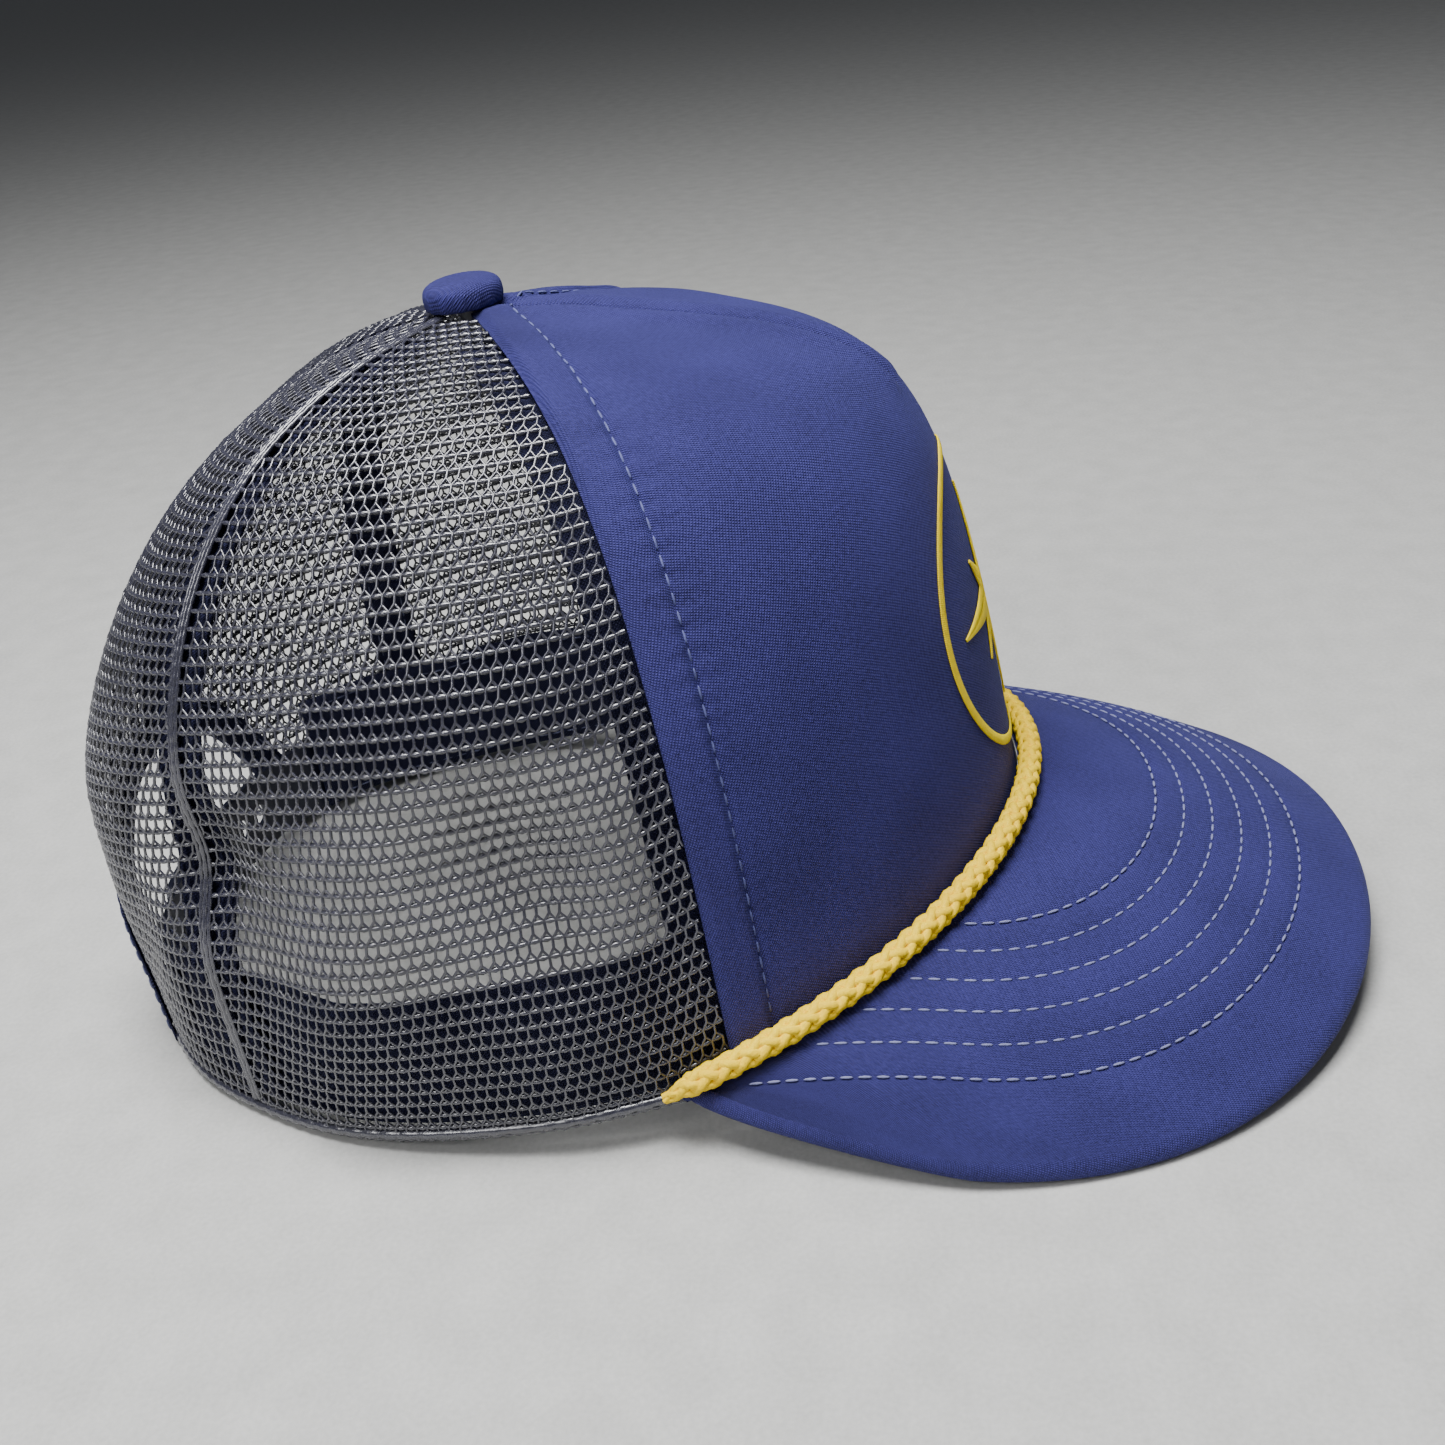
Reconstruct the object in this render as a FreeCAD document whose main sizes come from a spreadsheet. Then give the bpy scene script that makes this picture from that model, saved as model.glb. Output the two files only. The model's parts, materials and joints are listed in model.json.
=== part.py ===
"""Trucker mesh cap: a foam-backed cloth front, four mesh panels, a curved stitched brim,
a rope braid along the brim and a snap closure of two plastic straps under the back arch.

The cap is drawn in its own frame (millimetres): the front is -Y, the wearer's left is +X and
the button is on the Z axis.  Every piece then takes the same resting placement, which pitches
the cap until the brim's side edges and the back hem touch the surface it lies on.
"""
import FreeCAD, Part
import math
import os
import re

from FreeCAD import Placement, Rotation, Vector
from Sketcher import Constraint

SIZES = [
    # crown
    ("crown_half_width", 84.5),
    ("crown_half_length", 99.0),
    ("crown_height", 132.0),
    ("rear_roundness", 2.35),
    ("back_hem_height", -5.0),
    ("side_hem_sag", 2.5),
    ("front_shoulder_reach", 0.925),
    ("front_shoulder_rise", 0.885),
    ("front_shoulder_pull", 3.0),
    ("side_shoulder_reach", 0.975),
    ("side_shoulder_rise", 0.955),
    ("side_shoulder_pull", 1.4),
    ("back_shoulder_reach", 1.115),
    ("back_shoulder_rise", 0.965),
    ("back_shoulder_pull", 0.78),
    ("front_seam_angle", 67.0),
    ("rear_seam_angle", 124.0),
    ("top_hole_radius", 3.0),
    # cloth, foam and mesh
    ("cloth_thickness", 0.7),
    ("foam_thickness", 2.0),
    ("mesh_thickness", 1.2),
    ("layer_gap", 0.05),
    ("tape_thickness", 0.5),
    ("tape_width", 12.0),
    ("tape_gap", 0.5),
    ("sweatband_height", 32.0),
    ("sweatband_thickness", 1.0),
    ("sweatband_lift", 1.0),
    # brim
    ("brim_width", 192.0),
    ("brim_length", 72.0),
    ("brim_front_height", 18.0),
    ("brim_slope", 0.25),
    ("brim_side_curl", 0.0038),
    ("brim_droop", 0.0025),
    ("brim_corner_angle", 73.0),
    ("brim_widest_station", -82.0),
    ("brim_front_squareness", 2.1),
    ("brim_rear_squareness", 1.33),
    ("brim_board_thickness", 2.2),
    ("brim_cloth_thickness", 0.7),
    ("brim_board_inset", 1.2),
    ("brim_crown_gap", 0.15),
    ("stitch_rows", 6),
    ("stitch_outer_inset", 14.0),
    ("stitch_row_pitch", 5.8),
    ("thread_width", 0.8),
    ("thread_height", 0.35),
    # rope
    ("rope_diameter", 5.0),
    ("rope_gap", 0.45),
    # emblem
    ("emblem_height", 58.0),
    ("emblem_diameter", 66.0),
    ("emblem_ring_width", 1.8),
    ("emblem_star_diameter", 52.0),
    ("emblem_thickness", 0.7),
    # button
    ("button_diameter", 16.0),
    ("button_height", 5.6),
    ("button_edge_radius", 4.4),
    ("button_cover_thickness", 0.7),
    ("button_lift", 0.4),
    ("rivet_diameter", 11.0),
    ("rivet_thickness", 0.8),
    ("rivet_stem_diameter", 3.0),
    ("rivet_drop", 5.2),
    # back arch and snap closure
    ("arch_half_width", 42.0),
    ("arch_height", 48.0),
    ("binding_width", 7.0),
    ("binding_thickness", 0.7),
    ("strap_height", 19.0),
    ("strap_thickness", 1.3),
    ("strap_bend_radius", 120.0),
    ("strap_gap", 0.3),
    ("strap_lift", 1.5),
    ("strap_corner_radius", 4.0),
    ("strap_root_length", 18.0),
    ("hinge_inset", 7.0),
    ("hinge_gap", 0.4),
    ("peg_count", 7),
    ("engaged_pegs", 5),
    ("peg_pitch", 7.5),
    ("peg_diameter", 4.2),
    ("peg_height", 1.8),
    ("peg_hole_gap", 0.5),
    ("peg_edge_distance", 4.6),
]

doc = FreeCAD.newDocument("trucker_mesh_cap")
sheet = doc.addObject("Spreadsheet::Sheet", "Sizes")
for line_number, (alias, value) in enumerate(SIZES, start=1):
    sheet.set(f"A{line_number}", alias)
    sheet.set(f"B{line_number}", str(value))
    sheet.setAlias(f"B{line_number}", alias)
doc.recompute()


def size(alias):
    """A driving size, read from the sheet."""
    return float(sheet.get(alias))


def cell(formula):
    """An expression with every size name in it pointed at the sheet."""
    names = "|".join(alias for alias, _ in SIZES)
    return re.sub(rf"\b({names})\b", r"Sizes.\1", formula)


# ---------------------------------------------------------------- shape of the brim


def brim_height(x, y):
    """Height of the brim's upper face: it slopes, droops at the tip and curls down at the sides."""
    ahead = y + size("crown_half_length")
    return (
        size("brim_front_height")
        + size("brim_slope") * ahead
        - size("brim_droop") * ahead**2
        - size("brim_side_curl") * x**2
    )


def brim_thickness():
    """Total of the board, its two cloths and the gaps between them."""
    cloths = 2 * (size("brim_cloth_thickness") + size("layer_gap"))
    return size("brim_board_thickness") + cloths


def power(value, exponent):
    """A power that keeps the sign and stays at zero where rounding leaves a tiny negative."""
    return math.copysign(abs(value) ** exponent, value)


def brim_corner():
    """Plan position of the brim's corner on the wearer's left, where it meets the crown."""
    angle = math.radians(size("brim_corner_angle"))
    x = size("crown_half_width") * math.sin(angle)
    y = -size("crown_half_length") * math.cos(angle)
    return x, y


def brim_front_curve(turn, inset):
    """Plan point of the brim's front edge, moved inward; turn runs from -90 to 90 degrees."""
    angle = math.radians(turn)
    squareness = 2 / size("brim_front_squareness")
    widest = size("brim_widest_station")
    reach = size("crown_half_length") + size("brim_length") - inset + widest
    x = (size("brim_width") / 2 - inset) * power(math.sin(angle), squareness)
    y = widest - reach * power(max(math.cos(angle), 0.0), squareness)
    return Vector(x, y, 0)


def brim_rear_curve(turn, inset):
    """Plan point from the brim's widest place back to its left corner; turn runs 0 to 90."""
    angle = math.radians(turn)
    squareness = 2 / size("brim_rear_squareness")
    corner_x, corner_y = brim_corner()
    widest = size("brim_widest_station")
    spare = size("brim_width") / 2 - corner_x
    x = corner_x - inset + spare * power(max(math.cos(angle), 0.0), squareness)
    y = widest + (corner_y - widest) * power(math.sin(angle), squareness)
    return Vector(x, y, 0)


def mirrored(points):
    """The same points on the other side of the cap, in the opposite order."""
    return [Vector(-point.x, point.y, point.z) for point in reversed(points)]


def spline_edge(points):
    """One smooth edge through the points."""
    curve = Part.BSplineCurve()
    curve.interpolate(points)
    return curve.toShape()


def straight_edge(start, end):
    return Part.LineSegment(start, end).toShape()


def plan_prism(edges, low=-200.0, high=200.0):
    """A tall prism over the closed plan outline made of the edges."""
    wire = Part.Wire(Part.__sortEdges__(edges))
    face = Part.Face(wire)
    face.translate(Vector(0, 0, low))
    return face.extrude(Vector(0, 0, high - low))


def crown_prism(gap):
    """The upright elliptic column that the front of the crown stands in, made wider by a gap."""
    half_width = size("crown_half_width") + gap
    half_length = size("crown_half_length") + gap
    longer, shorter = max(half_width, half_length), min(half_width, half_length)
    outline = Part.Ellipse(Vector(0, 0, 0), longer, shorter).toShape()
    if half_length > half_width:
        outline.rotate(Vector(0, 0, 0), Vector(0, 0, 1), 90.0)
    return plan_prism([outline])


def brim_prism(inset):
    """The tall prism over the brim's outline, moved inward, and over the crown behind it."""
    front = [brim_front_curve(turn, inset) for turn in range(-90, 91, 6)]
    left = [brim_rear_curve(turn, inset) for turn in range(0, 91, 10)]
    right = mirrored(left)
    edges = [spline_edge(front), spline_edge(left), spline_edge(right)]
    edges.append(straight_edge(left[-1], right[0]))
    return plan_prism(edges)


def brim_slab(top_offset, thickness):
    """A slab whose faces follow the brim; the height is quadratic, so one patch is exact."""
    half = size("brim_width")
    behind = 0.0
    ahead = -size("crown_half_length") - 2 * size("brim_length")
    front = -size("crown_half_length")
    height_here = size("brim_front_height") + top_offset
    curl = size("brim_side_curl") * half**2

    def along(first, second):
        """Pole height along Y for the quadratic part of the brim between two stations."""
        slope = size("brim_slope") * ((first + second) / 2 - front)
        return height_here + slope - size("brim_droop") * (first - front) * (second - front)

    stations = [(ahead, ahead, ahead), ((ahead + behind) / 2, ahead, behind), (behind,) * 3]
    widths = [(-half, -curl), (0.0, curl), (half, -curl)]
    surface = Part.BezierSurface()
    surface.increase(2, 2)
    for row, (x, side_height) in enumerate(widths, start=1):
        for column, (y, first, second) in enumerate(stations, start=1):
            surface.setPole(row, column, Vector(x, y, along(first, second) + side_height))
    return surface.toShape().extrude(Vector(0, 0, -thickness))


# ---------------------------------------------------------------- shape of the crown


def smooth_step(share):
    share = min(max(share, 0.0), 1.0)
    return share**2 * (3 - 2 * share)


BACK_HEM_ANGLE = 150.0  # from here to the back centre the hem is level
SAG_ANGLE = 110.0  # where the side hem hangs lowest
SAG_SPREAD = 37.0


def hem_point(theta):
    """Point of the crown's lower edge; theta is degrees from the front, positive to the left.

    The front follows the brim's underside.  From the brim's corner back, the hem runs to the
    height of the back hem and sags a little where the mesh is not held by anything.
    """
    angle = math.radians(theta)
    exponent = 1.0 if math.cos(angle) >= 0 else 2 / size("rear_roundness")
    x = size("crown_half_width") * power(math.sin(angle), exponent)
    y = -size("crown_half_length") * power(math.cos(angle), exponent)
    corner = size("brim_corner_angle")
    if abs(theta) <= corner:
        return Vector(x, y, brim_height(x, y) - brim_thickness())
    corner_height = brim_height(*brim_corner()) - brim_thickness()
    share = smooth_step((abs(theta) - corner) / (BACK_HEM_ANGLE - corner))
    sag = size("side_hem_sag") * max(0.0, 1 - ((abs(theta) - SAG_ANGLE) / SAG_SPREAD) ** 2) ** 2
    height = corner_height + (size("back_hem_height") - corner_height) * share
    return Vector(x, y, height - sag)


def blended(theta, name, sharpness=1.5):
    """A shoulder value that goes from its front size through its side size to its back size."""
    cosine = math.cos(math.radians(theta))
    front = size(f"front_shoulder_{name}")
    side = size(f"side_shoulder_{name}")
    back = size(f"back_shoulder_{name}")
    to_front = max(cosine, 0.0) ** sharpness
    to_back = max(-cosine, 0.0) ** sharpness
    return side + (front - side) * to_front + (back - side) * to_back


def meridian_poles(theta, depth):
    """Hem, shoulder and top poles of the crown's profile at theta, moved in by a depth."""
    hem = hem_point(theta)
    reach = math.hypot(hem.x, hem.y)
    outward = Vector(hem.x / reach, hem.y / reach, 0)
    rise = size("crown_height") - hem.z
    foot = outward * (reach - depth) + Vector(0, 0, hem.z)
    shoulder = outward * (reach * blended(theta, "reach") - depth)
    shoulder.z = hem.z + rise * blended(theta, "rise") - depth
    top = Vector(0, 0, size("crown_height") - depth)
    return foot, shoulder, top


def share_at_height(theta, above_hem):
    """Place along the profile where it is that far above the hem (a root of its quadratic)."""
    rise = size("crown_height") - hem_point(theta).z
    level = above_hem / rise
    pull = blended(theta, "pull", 2.5)
    shoulder = pull * blended(theta, "rise")
    square = level * (2 - 2 * pull) - 1 + 2 * shoulder
    linear = level * (2 * pull - 2) - 2 * shoulder
    root = math.sqrt(linear**2 - 4 * square * level)
    return 2 * level / (-linear + root)


def share_at_radius(theta, radius):
    """Place along the profile, near the top, where it is that far from the button's axis."""
    low, high = 0.5, 1.0
    for _ in range(40):
        middle = (low + high) / 2
        point = crown_point(theta, middle, 0.0)
        if math.hypot(point.x, point.y) > radius:
            low = middle
        else:
            high = middle
    return low


def crown_point(theta, share, depth):
    """Point of the crown: share runs from 0 at the hem to 1 at the top."""
    foot, shoulder, top = meridian_poles(theta, depth)
    pull = blended(theta, "pull", 2.5)
    weights = [(1 - share) ** 2, 2 * share * (1 - share) * pull, share**2]
    total = sum(weights)
    return (foot * weights[0] + shoulder * weights[1] + top * weights[2]) * (1 / total)


def meridian_edge(theta, depth, start, end):
    """The crown's profile at theta as one conic edge between two shares of its length."""
    curve = Part.BezierCurve()
    curve.increase(2)
    for number, pole in enumerate(meridian_poles(theta, depth), start=1):
        curve.setPole(number, pole)
    curve.setWeight(2, blended(theta, "pull", 2.5))
    curve.segment(start, end)
    return curve.toShape()


def crown_section(theta, outer_depth, inner_depth, start, end):
    """Closed section of a crown layer in the upright plane at theta."""
    outer = meridian_edge(theta, outer_depth, start, end)
    inner = meridian_edge(theta, inner_depth, start, end)
    outer_low, outer_high = outer.Vertexes[0].Point, outer.Vertexes[-1].Point
    inner_low, inner_high = inner.Vertexes[0].Point, inner.Vertexes[-1].Point
    top = straight_edge(outer_high, inner_high)
    bottom = straight_edge(inner_low, outer_low)
    return Part.Wire([outer, top, inner, bottom])


def crown_layer(first, last, outer_depth, inner_depth, span=None, steps=8):
    """A curved layer of the crown between two angles; span gives its start and end shares."""
    sections = []
    for step in range(steps + 1):
        theta = first + (last - first) * step / steps
        whole = (0.0, share_at_radius(theta, size("top_hole_radius")))
        start, end = span(theta) if span else whole
        sections.append(crown_section(theta, outer_depth, inner_depth, start, end))
    return Part.makeLoft(sections, True, False)


def seam_tape(theta, outer_depth, start_height, width):
    """A flat tape inside the crown over the seam at theta, from a height up to the button."""
    inner_depth = outer_depth + size("tape_thickness")
    first = share_at_height(theta, start_height)
    last = share_at_radius(theta, size("button_diameter"))
    sections = []
    for step in range(9):
        share = first + (last - first) * step / 8
        outer = crown_point(theta, share, outer_depth)
        inner = crown_point(theta, share, inner_depth)
        ahead = crown_point(theta + 2.0, share, outer_depth)
        behind = crown_point(theta - 2.0, share, outer_depth)
        across = Vector(ahead.x - behind.x, ahead.y - behind.y, 0).normalize() * (width / 2)
        corners = [outer - across, outer + across, inner + across, inner - across]
        sections.append(Part.makePolygon(corners + corners[:1]))
    return Part.makeLoft(sections, True, False)


# ---------------------------------------------------------------- how the cap rests


def pitched(point, pitch):
    """A point after the front has been raised by the pitch, in degrees."""
    return Rotation(Vector(1, 0, 0), -pitch).multVec(point)


def brim_underside_points():
    """Lower edge of the brim along its outline."""
    points = [brim_front_curve(turn, 0.0) for turn in range(0, 91, 3)]
    points += [brim_rear_curve(turn, 0.0) for turn in range(0, 91, 3)]
    thickness = brim_thickness()
    return [Vector(p.x, p.y, brim_height(p.x, p.y) - thickness) for p in points]


def resting_placement():
    """Pitch the cap until brim and back hem are level, then put it on the surface, centred."""
    brim = brim_underside_points()
    hem = [hem_point(theta) for theta in range(95, 181)]
    low, high = -10.0, 20.0
    for _ in range(40):
        pitch = (low + high) / 2
        brim_low = min(pitched(point, pitch).z for point in brim)
        hem_low = min(pitched(point, pitch).z for point in hem)
        if brim_low < hem_low:
            low = pitch
        else:
            high = pitch
    brim_tip = brim_front_curve(0.0, 0.0)
    brim_tip.z = brim_height(brim_tip.x, brim_tip.y) - brim_thickness()
    back = [crown_point(180.0, share / 50, 0.0) for share in range(26)]
    front_end = pitched(brim_tip, pitch).y
    back_end = max(pitched(point, pitch).y for point in back)
    shift = Vector(0, -(front_end + back_end) / 2, -min(brim_low, hem_low))
    return Placement(shift, Rotation(Vector(1, 0, 0), -pitch))


REST = resting_placement()
NODES = []


def add_node(feature, label, local=Placement()):
    """Name a finished piece and put it where the resting cap has it."""
    feature.Label = label
    feature.Placement = REST.multiply(local)
    NODES.append(feature)
    return feature


def add_shape(shape, label):
    """A soft, doubly curved piece held as a shape."""
    feature = doc.addObject("Part::Feature", label)
    feature.Shape = shape
    return add_node(feature, label)


# ---------------------------------------------------------------- crown pieces

CLOTH_INNER = size("cloth_thickness")
FOAM_OUTER = CLOTH_INNER + size("layer_gap")
FOAM_INNER = FOAM_OUTER + size("foam_thickness")
FRONT_TAPE_DEPTH = FOAM_INNER + size("tape_gap")
MESH_TAPE_DEPTH = size("mesh_thickness") + size("tape_gap")
SWEATBAND_DEPTH = FRONT_TAPE_DEPTH + size("tape_thickness") + size("tape_gap")
SEAM_GAP_ANGLE = 0.06


def arch_prism(margin):
    """Prism along Y over the half-moon opening at the back, made larger by a margin."""
    half_width = size("arch_half_width") + margin
    base = size("back_hem_height")
    top = base + size("arch_height") + margin
    low = base - size("arch_height")
    diagonal = math.sqrt(0.5)
    shoulder = Vector(half_width * diagonal, 0, base + (top - base) * diagonal)
    left = Vector(half_width, 0, base)
    points = [left, shoulder, Vector(0, 0, top)]
    points += mirrored(points[:2])
    bow = Part.BSplineCurve()
    up = Vector(0, 0, half_width)
    bow.interpolate(Points=points, InitialTangent=up, FinalTangent=-up)
    feet = [points[-1], Vector(-half_width, 0, low), Vector(half_width, 0, low), left]
    outline = Part.Wire([bow.toShape()] + Part.makePolygon(feet).Edges)
    return Part.Face(outline).extrude(Vector(0, 2 * size("crown_half_length"), 0))


def make_front():
    edge = size("front_seam_angle") - SEAM_GAP_ANGLE
    add_shape(crown_layer(-edge, edge, 0.0, CLOTH_INNER, steps=14), "front_panel")
    foam_edge = edge - 1.0
    foam = crown_layer(-foam_edge, foam_edge, FOAM_OUTER, FOAM_INNER, steps=14)
    add_shape(foam, "front_foam_lining")


def make_mesh():
    arch = arch_prism(0.0)
    front = size("front_seam_angle") + SEAM_GAP_ANGLE
    rear = size("rear_seam_angle")
    for side, name in ((1, "left"), (-1, "right")):
        ends = sorted((side * front, side * (rear - SEAM_GAP_ANGLE)))
        panel = crown_layer(*ends, 0.0, size("mesh_thickness"))
        add_shape(panel, f"side_mesh_{name}")
        ends = sorted((side * (rear + SEAM_GAP_ANGLE), side * (180.0 - SEAM_GAP_ANGLE)))
        panel = crown_layer(*ends, 0.0, size("mesh_thickness")).cut(arch)
        add_shape(panel, f"back_mesh_{name}")


def make_tapes():
    front = size("front_seam_angle")
    rear = size("rear_seam_angle")
    width = size("tape_width")
    above_arch = size("arch_height") + size("binding_width") + 2.0
    for side, name in ((1, "left"), (-1, "right")):
        tape = seam_tape(side * front, FRONT_TAPE_DEPTH, 2.0, width)
        add_shape(tape, f"front_seam_tape_{name}")
        tape = seam_tape(side * rear, MESH_TAPE_DEPTH, 2.0, width)
        add_shape(tape, f"rear_seam_tape_{name}")
    add_shape(seam_tape(180.0, MESH_TAPE_DEPTH, above_arch, width), "back_seam_tape")
    dart_start = size("crown_height") * 0.55
    add_shape(seam_tape(0.0, FRONT_TAPE_DEPTH, dart_start, width), "dart_tape")


def make_sweatband():
    """The band runs round the head from one leg of the back arch to the other."""
    lift = size("sweatband_lift")
    height = size("sweatband_height")

    def span(theta):
        return share_at_height(theta, lift), share_at_height(theta, height)

    inner = SWEATBAND_DEPTH + size("sweatband_thickness")
    halves = []
    for first, last, steps in ((-90.0, 90.0, 16), (90.0, 176.0, 10), (-176.0, -90.0, 10)):
        halves.append(crown_layer(first, last, SWEATBAND_DEPTH, inner, span, steps))
    band = halves[0].fuse(halves[1:])
    clearance = size("binding_width") + size("strap_root_length")
    gap = Part.makeBox(
        2 * (size("arch_half_width") + clearance),
        size("crown_half_length"),
        size("crown_height"),
    )
    gap.translate(Vector(-size("arch_half_width") - clearance, 10.0, -30.0))
    add_shape(band.cut(gap).removeSplitter(), "sweatband")


BINDING_START = 142.0  # angle well outside the legs of the arch


def make_binding():
    """A tape folded over the cut edge of the mesh round the back arch, one half at a time."""
    gap = size("layer_gap")
    fold = size("binding_thickness") + gap
    mesh = size("mesh_thickness")
    floor = Part.makeBox(200, 200, 40)
    floor.translate(Vector(-100, 0, size("back_hem_height") - 40 + gap))
    halves = []
    start = BINDING_START
    for ends in ((start, 180.0), (-180.0, -start)):
        around = crown_layer(*ends, -fold, mesh + fold, steps=8)
        held_mesh = crown_layer(*ends, -gap, mesh + gap, steps=8).cut(arch_prism(-gap))
        ring = around.common(arch_prism(size("binding_width"))).cut(arch_prism(-fold))
        halves.append(ring.cut(held_mesh).cut(floor))
    add_shape(halves[0].fuse(halves[1]), "back_arch_binding")


# ---------------------------------------------------------------- brim pieces


def make_brim():
    cloth = size("brim_cloth_thickness")
    board = size("brim_board_thickness")
    gap = size("layer_gap")
    crown = crown_prism(size("brim_crown_gap"))
    whole = brim_prism(0.0).cut(crown)
    core = brim_prism(size("brim_board_inset")).cut(crown)
    add_shape(brim_slab(0.0, cloth).common(whole), "brim_upper_cloth")
    add_shape(brim_slab(-cloth - gap, board).common(core), "brim_board")
    under = -cloth - board - 2 * gap
    add_shape(brim_slab(under, cloth).common(whole), "brim_lower_cloth")


def stitch_outline(inset):
    """One row's plan curve: parallel to the brim's front edge, then straight back."""
    front = [brim_front_curve(turn, inset) for turn in range(-90, 91, 6)]
    back_left = Vector(front[-1].x, 0, 0)
    back_right = Vector(front[0].x, 0, 0)
    return [
        straight_edge(back_right, front[0]),
        spline_edge(front),
        straight_edge(front[-1], back_left),
        straight_edge(back_left, back_right),
    ]


def make_brim_stitching():
    """Rows of thread that stand a little proud of the upper cloth and stop at the rope."""
    height = size("thread_height")
    gap = size("layer_gap")
    slab = brim_slab(height + gap, height)
    rope_zone = crown_prism(size("rope_diameter") + size("rope_gap"))
    half = size("thread_width") / 2
    rows = []
    for row in range(int(size("stitch_rows"))):
        inset = size("stitch_outer_inset") + row * size("stitch_row_pitch")
        outer = plan_prism(stitch_outline(inset - half))
        inner = plan_prism(stitch_outline(inset + half))
        rows.append(slab.common(outer.cut(inner).cut(rope_zone)))
    add_shape(Part.makeCompound(rows), "brim_stitching")


def rope_path():
    """The rope's route: in the corner between the crown and the brim's upper face."""
    radius = size("rope_diameter") / 2
    out = radius + size("rope_gap")
    end = size("brim_corner_angle") + 1.0
    points = []
    for step in range(17):
        angle = math.radians(-end + 2 * end * step / 16)
        x = (size("crown_half_width") + out) * math.sin(angle)
        y = -(size("crown_half_length") + out) * math.cos(angle)
        slope = math.hypot(2 * size("brim_side_curl") * x, size("brim_slope"))
        lift = (radius + size("rope_gap")) * math.hypot(1.0, slope)
        points.append(Vector(x, y, brim_height(x, y) + lift))
    return points


def tube(points, radius):
    """A round tube along straight runs that are joined by tangent arcs."""
    edges = []
    start = points[0]
    for before, corner, after in zip(points, points[1:], points[2:]):
        towards = (before - corner).normalize()
        away = (after - corner).normalize()
        reach = 0.45 * min((before - corner).Length, (after - corner).Length)
        enter = corner + towards * reach
        leave = corner + away * reach
        half_turn = (math.pi - towards.getAngle(away)) / 2
        bisector = (towards + away).normalize()
        arc_radius = reach / math.tan(half_turn)
        rise = math.hypot(arc_radius, reach) - arc_radius
        edges.append(straight_edge(start, enter))
        edges.append(Part.Arc(enter, corner + bisector * rise, leave).toShape())
        start = leave
    edges.append(straight_edge(start, points[-1]))
    path = Part.Wire(edges)
    profile = Part.Wire([Part.Circle(points[0], edges[0].tangentAt(0), radius).toShape()])
    return path.makePipeShell([profile], True, True)


def make_rope():
    add_shape(tube(rope_path(), size("rope_diameter") / 2), "rope_braid")


# ---------------------------------------------------------------- emblem


LONG_RAY_WAIST = 0.22
SHORT_RAY_SHARE = 0.62
SHORT_RAY_WAIST = 0.2


def star_outline(points, outer, inner):
    """A closed star in the XZ plane."""
    corners = []
    for number in range(2 * points):
        angle = math.pi * number / points
        reach = outer if number % 2 == 0 else inner
        corners.append(Vector(reach * math.sin(angle), 0, reach * math.cos(angle)))
    return Part.makePolygon(corners + corners[:1])


def forward_prism(wire):
    """Prism from the middle of the crown forward, over a flat outline in the XZ plane."""
    prism = Part.Face(wire).extrude(Vector(0, -1.5 * size("crown_half_length"), 0))
    prism.translate(Vector(0, 0, size("emblem_height")))
    return prism


def circle_wire(radius):
    return Part.Wire([Part.Circle(Vector(0, 0, 0), Vector(0, 1, 0), radius).toShape()])


def make_emblem():
    """A ring round an eight-pointed compass star, as embroidery on the front panel."""
    gap = size("layer_gap")
    layer = crown_layer(-40.0, 40.0, -gap - size("emblem_thickness"), -gap)
    outer = size("emblem_diameter") / 2
    ring = forward_prism(circle_wire(outer)).cut(
        forward_prism(circle_wire(outer - size("emblem_ring_width")))
    )
    reach = size("emblem_star_diameter") / 2
    long_star = forward_prism(star_outline(4, reach, reach * LONG_RAY_WAIST))
    short = star_outline(4, reach * SHORT_RAY_SHARE, reach * SHORT_RAY_WAIST)
    short.rotate(Vector(0, 0, 0), Vector(0, 1, 0), 45)
    star = long_star.fuse(forward_prism(short))
    add_shape(layer.common(ring), "emblem_ring")
    add_shape(layer.common(star), "emblem_star")


# ---------------------------------------------------------------- drawn bodies


def origin_plane(body, role):
    """One of the body's own origin planes."""
    return next(plane for plane in body.Origin.OriginFeatures if plane.Role == role)


def new_sketch(body, name, role):
    sketch = body.newObject("Sketcher::SketchObject", name)
    sketch.AttachmentSupport = (origin_plane(body, role), [""])
    sketch.MapMode = "FlatFace"
    return sketch


def bind(sketch, constraint, name, formula):
    """Add a dimension to a sketch and tie it to the sheet."""
    index = sketch.addConstraint(constraint)
    sketch.renameConstraint(index, name)
    sketch.setExpression(f"Constraints.{name}", cell(formula))


def centred_circle(sketch, diameter_name):
    """A circle on the sketch's origin."""
    radius = size(diameter_name) / 2
    circle = sketch.addGeometry(Part.Circle(Vector(0, 0, 0), Vector(0, 0, 1), radius))
    sketch.addConstraint(Constraint("Coincident", circle, 3, -1, 1))
    diameter = Constraint("Diameter", circle, 2 * radius)
    bind(sketch, diameter, "diameter", diameter_name)


def padded_disc(body, diameter_name, height_name):
    """A round boss on the body's XY plane."""
    sketch = new_sketch(body, "outline", "XY_Plane")
    centred_circle(sketch, diameter_name)
    pad = body.newObject("PartDesign::Pad", "disc")
    pad.Profile = sketch
    pad.setExpression("Length", cell(height_name))
    doc.recompute()
    return pad


def top_rim(feature):
    """Name of the round edge at the top of a boss."""
    edges = feature.Shape.Edges
    round_edges = [n for n, edge in enumerate(edges) if isinstance(edge.Curve, Part.Circle)]
    highest = max(round_edges, key=lambda n: edges[n].BoundBox.ZMin)
    return f"Edge{highest + 1}"


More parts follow.
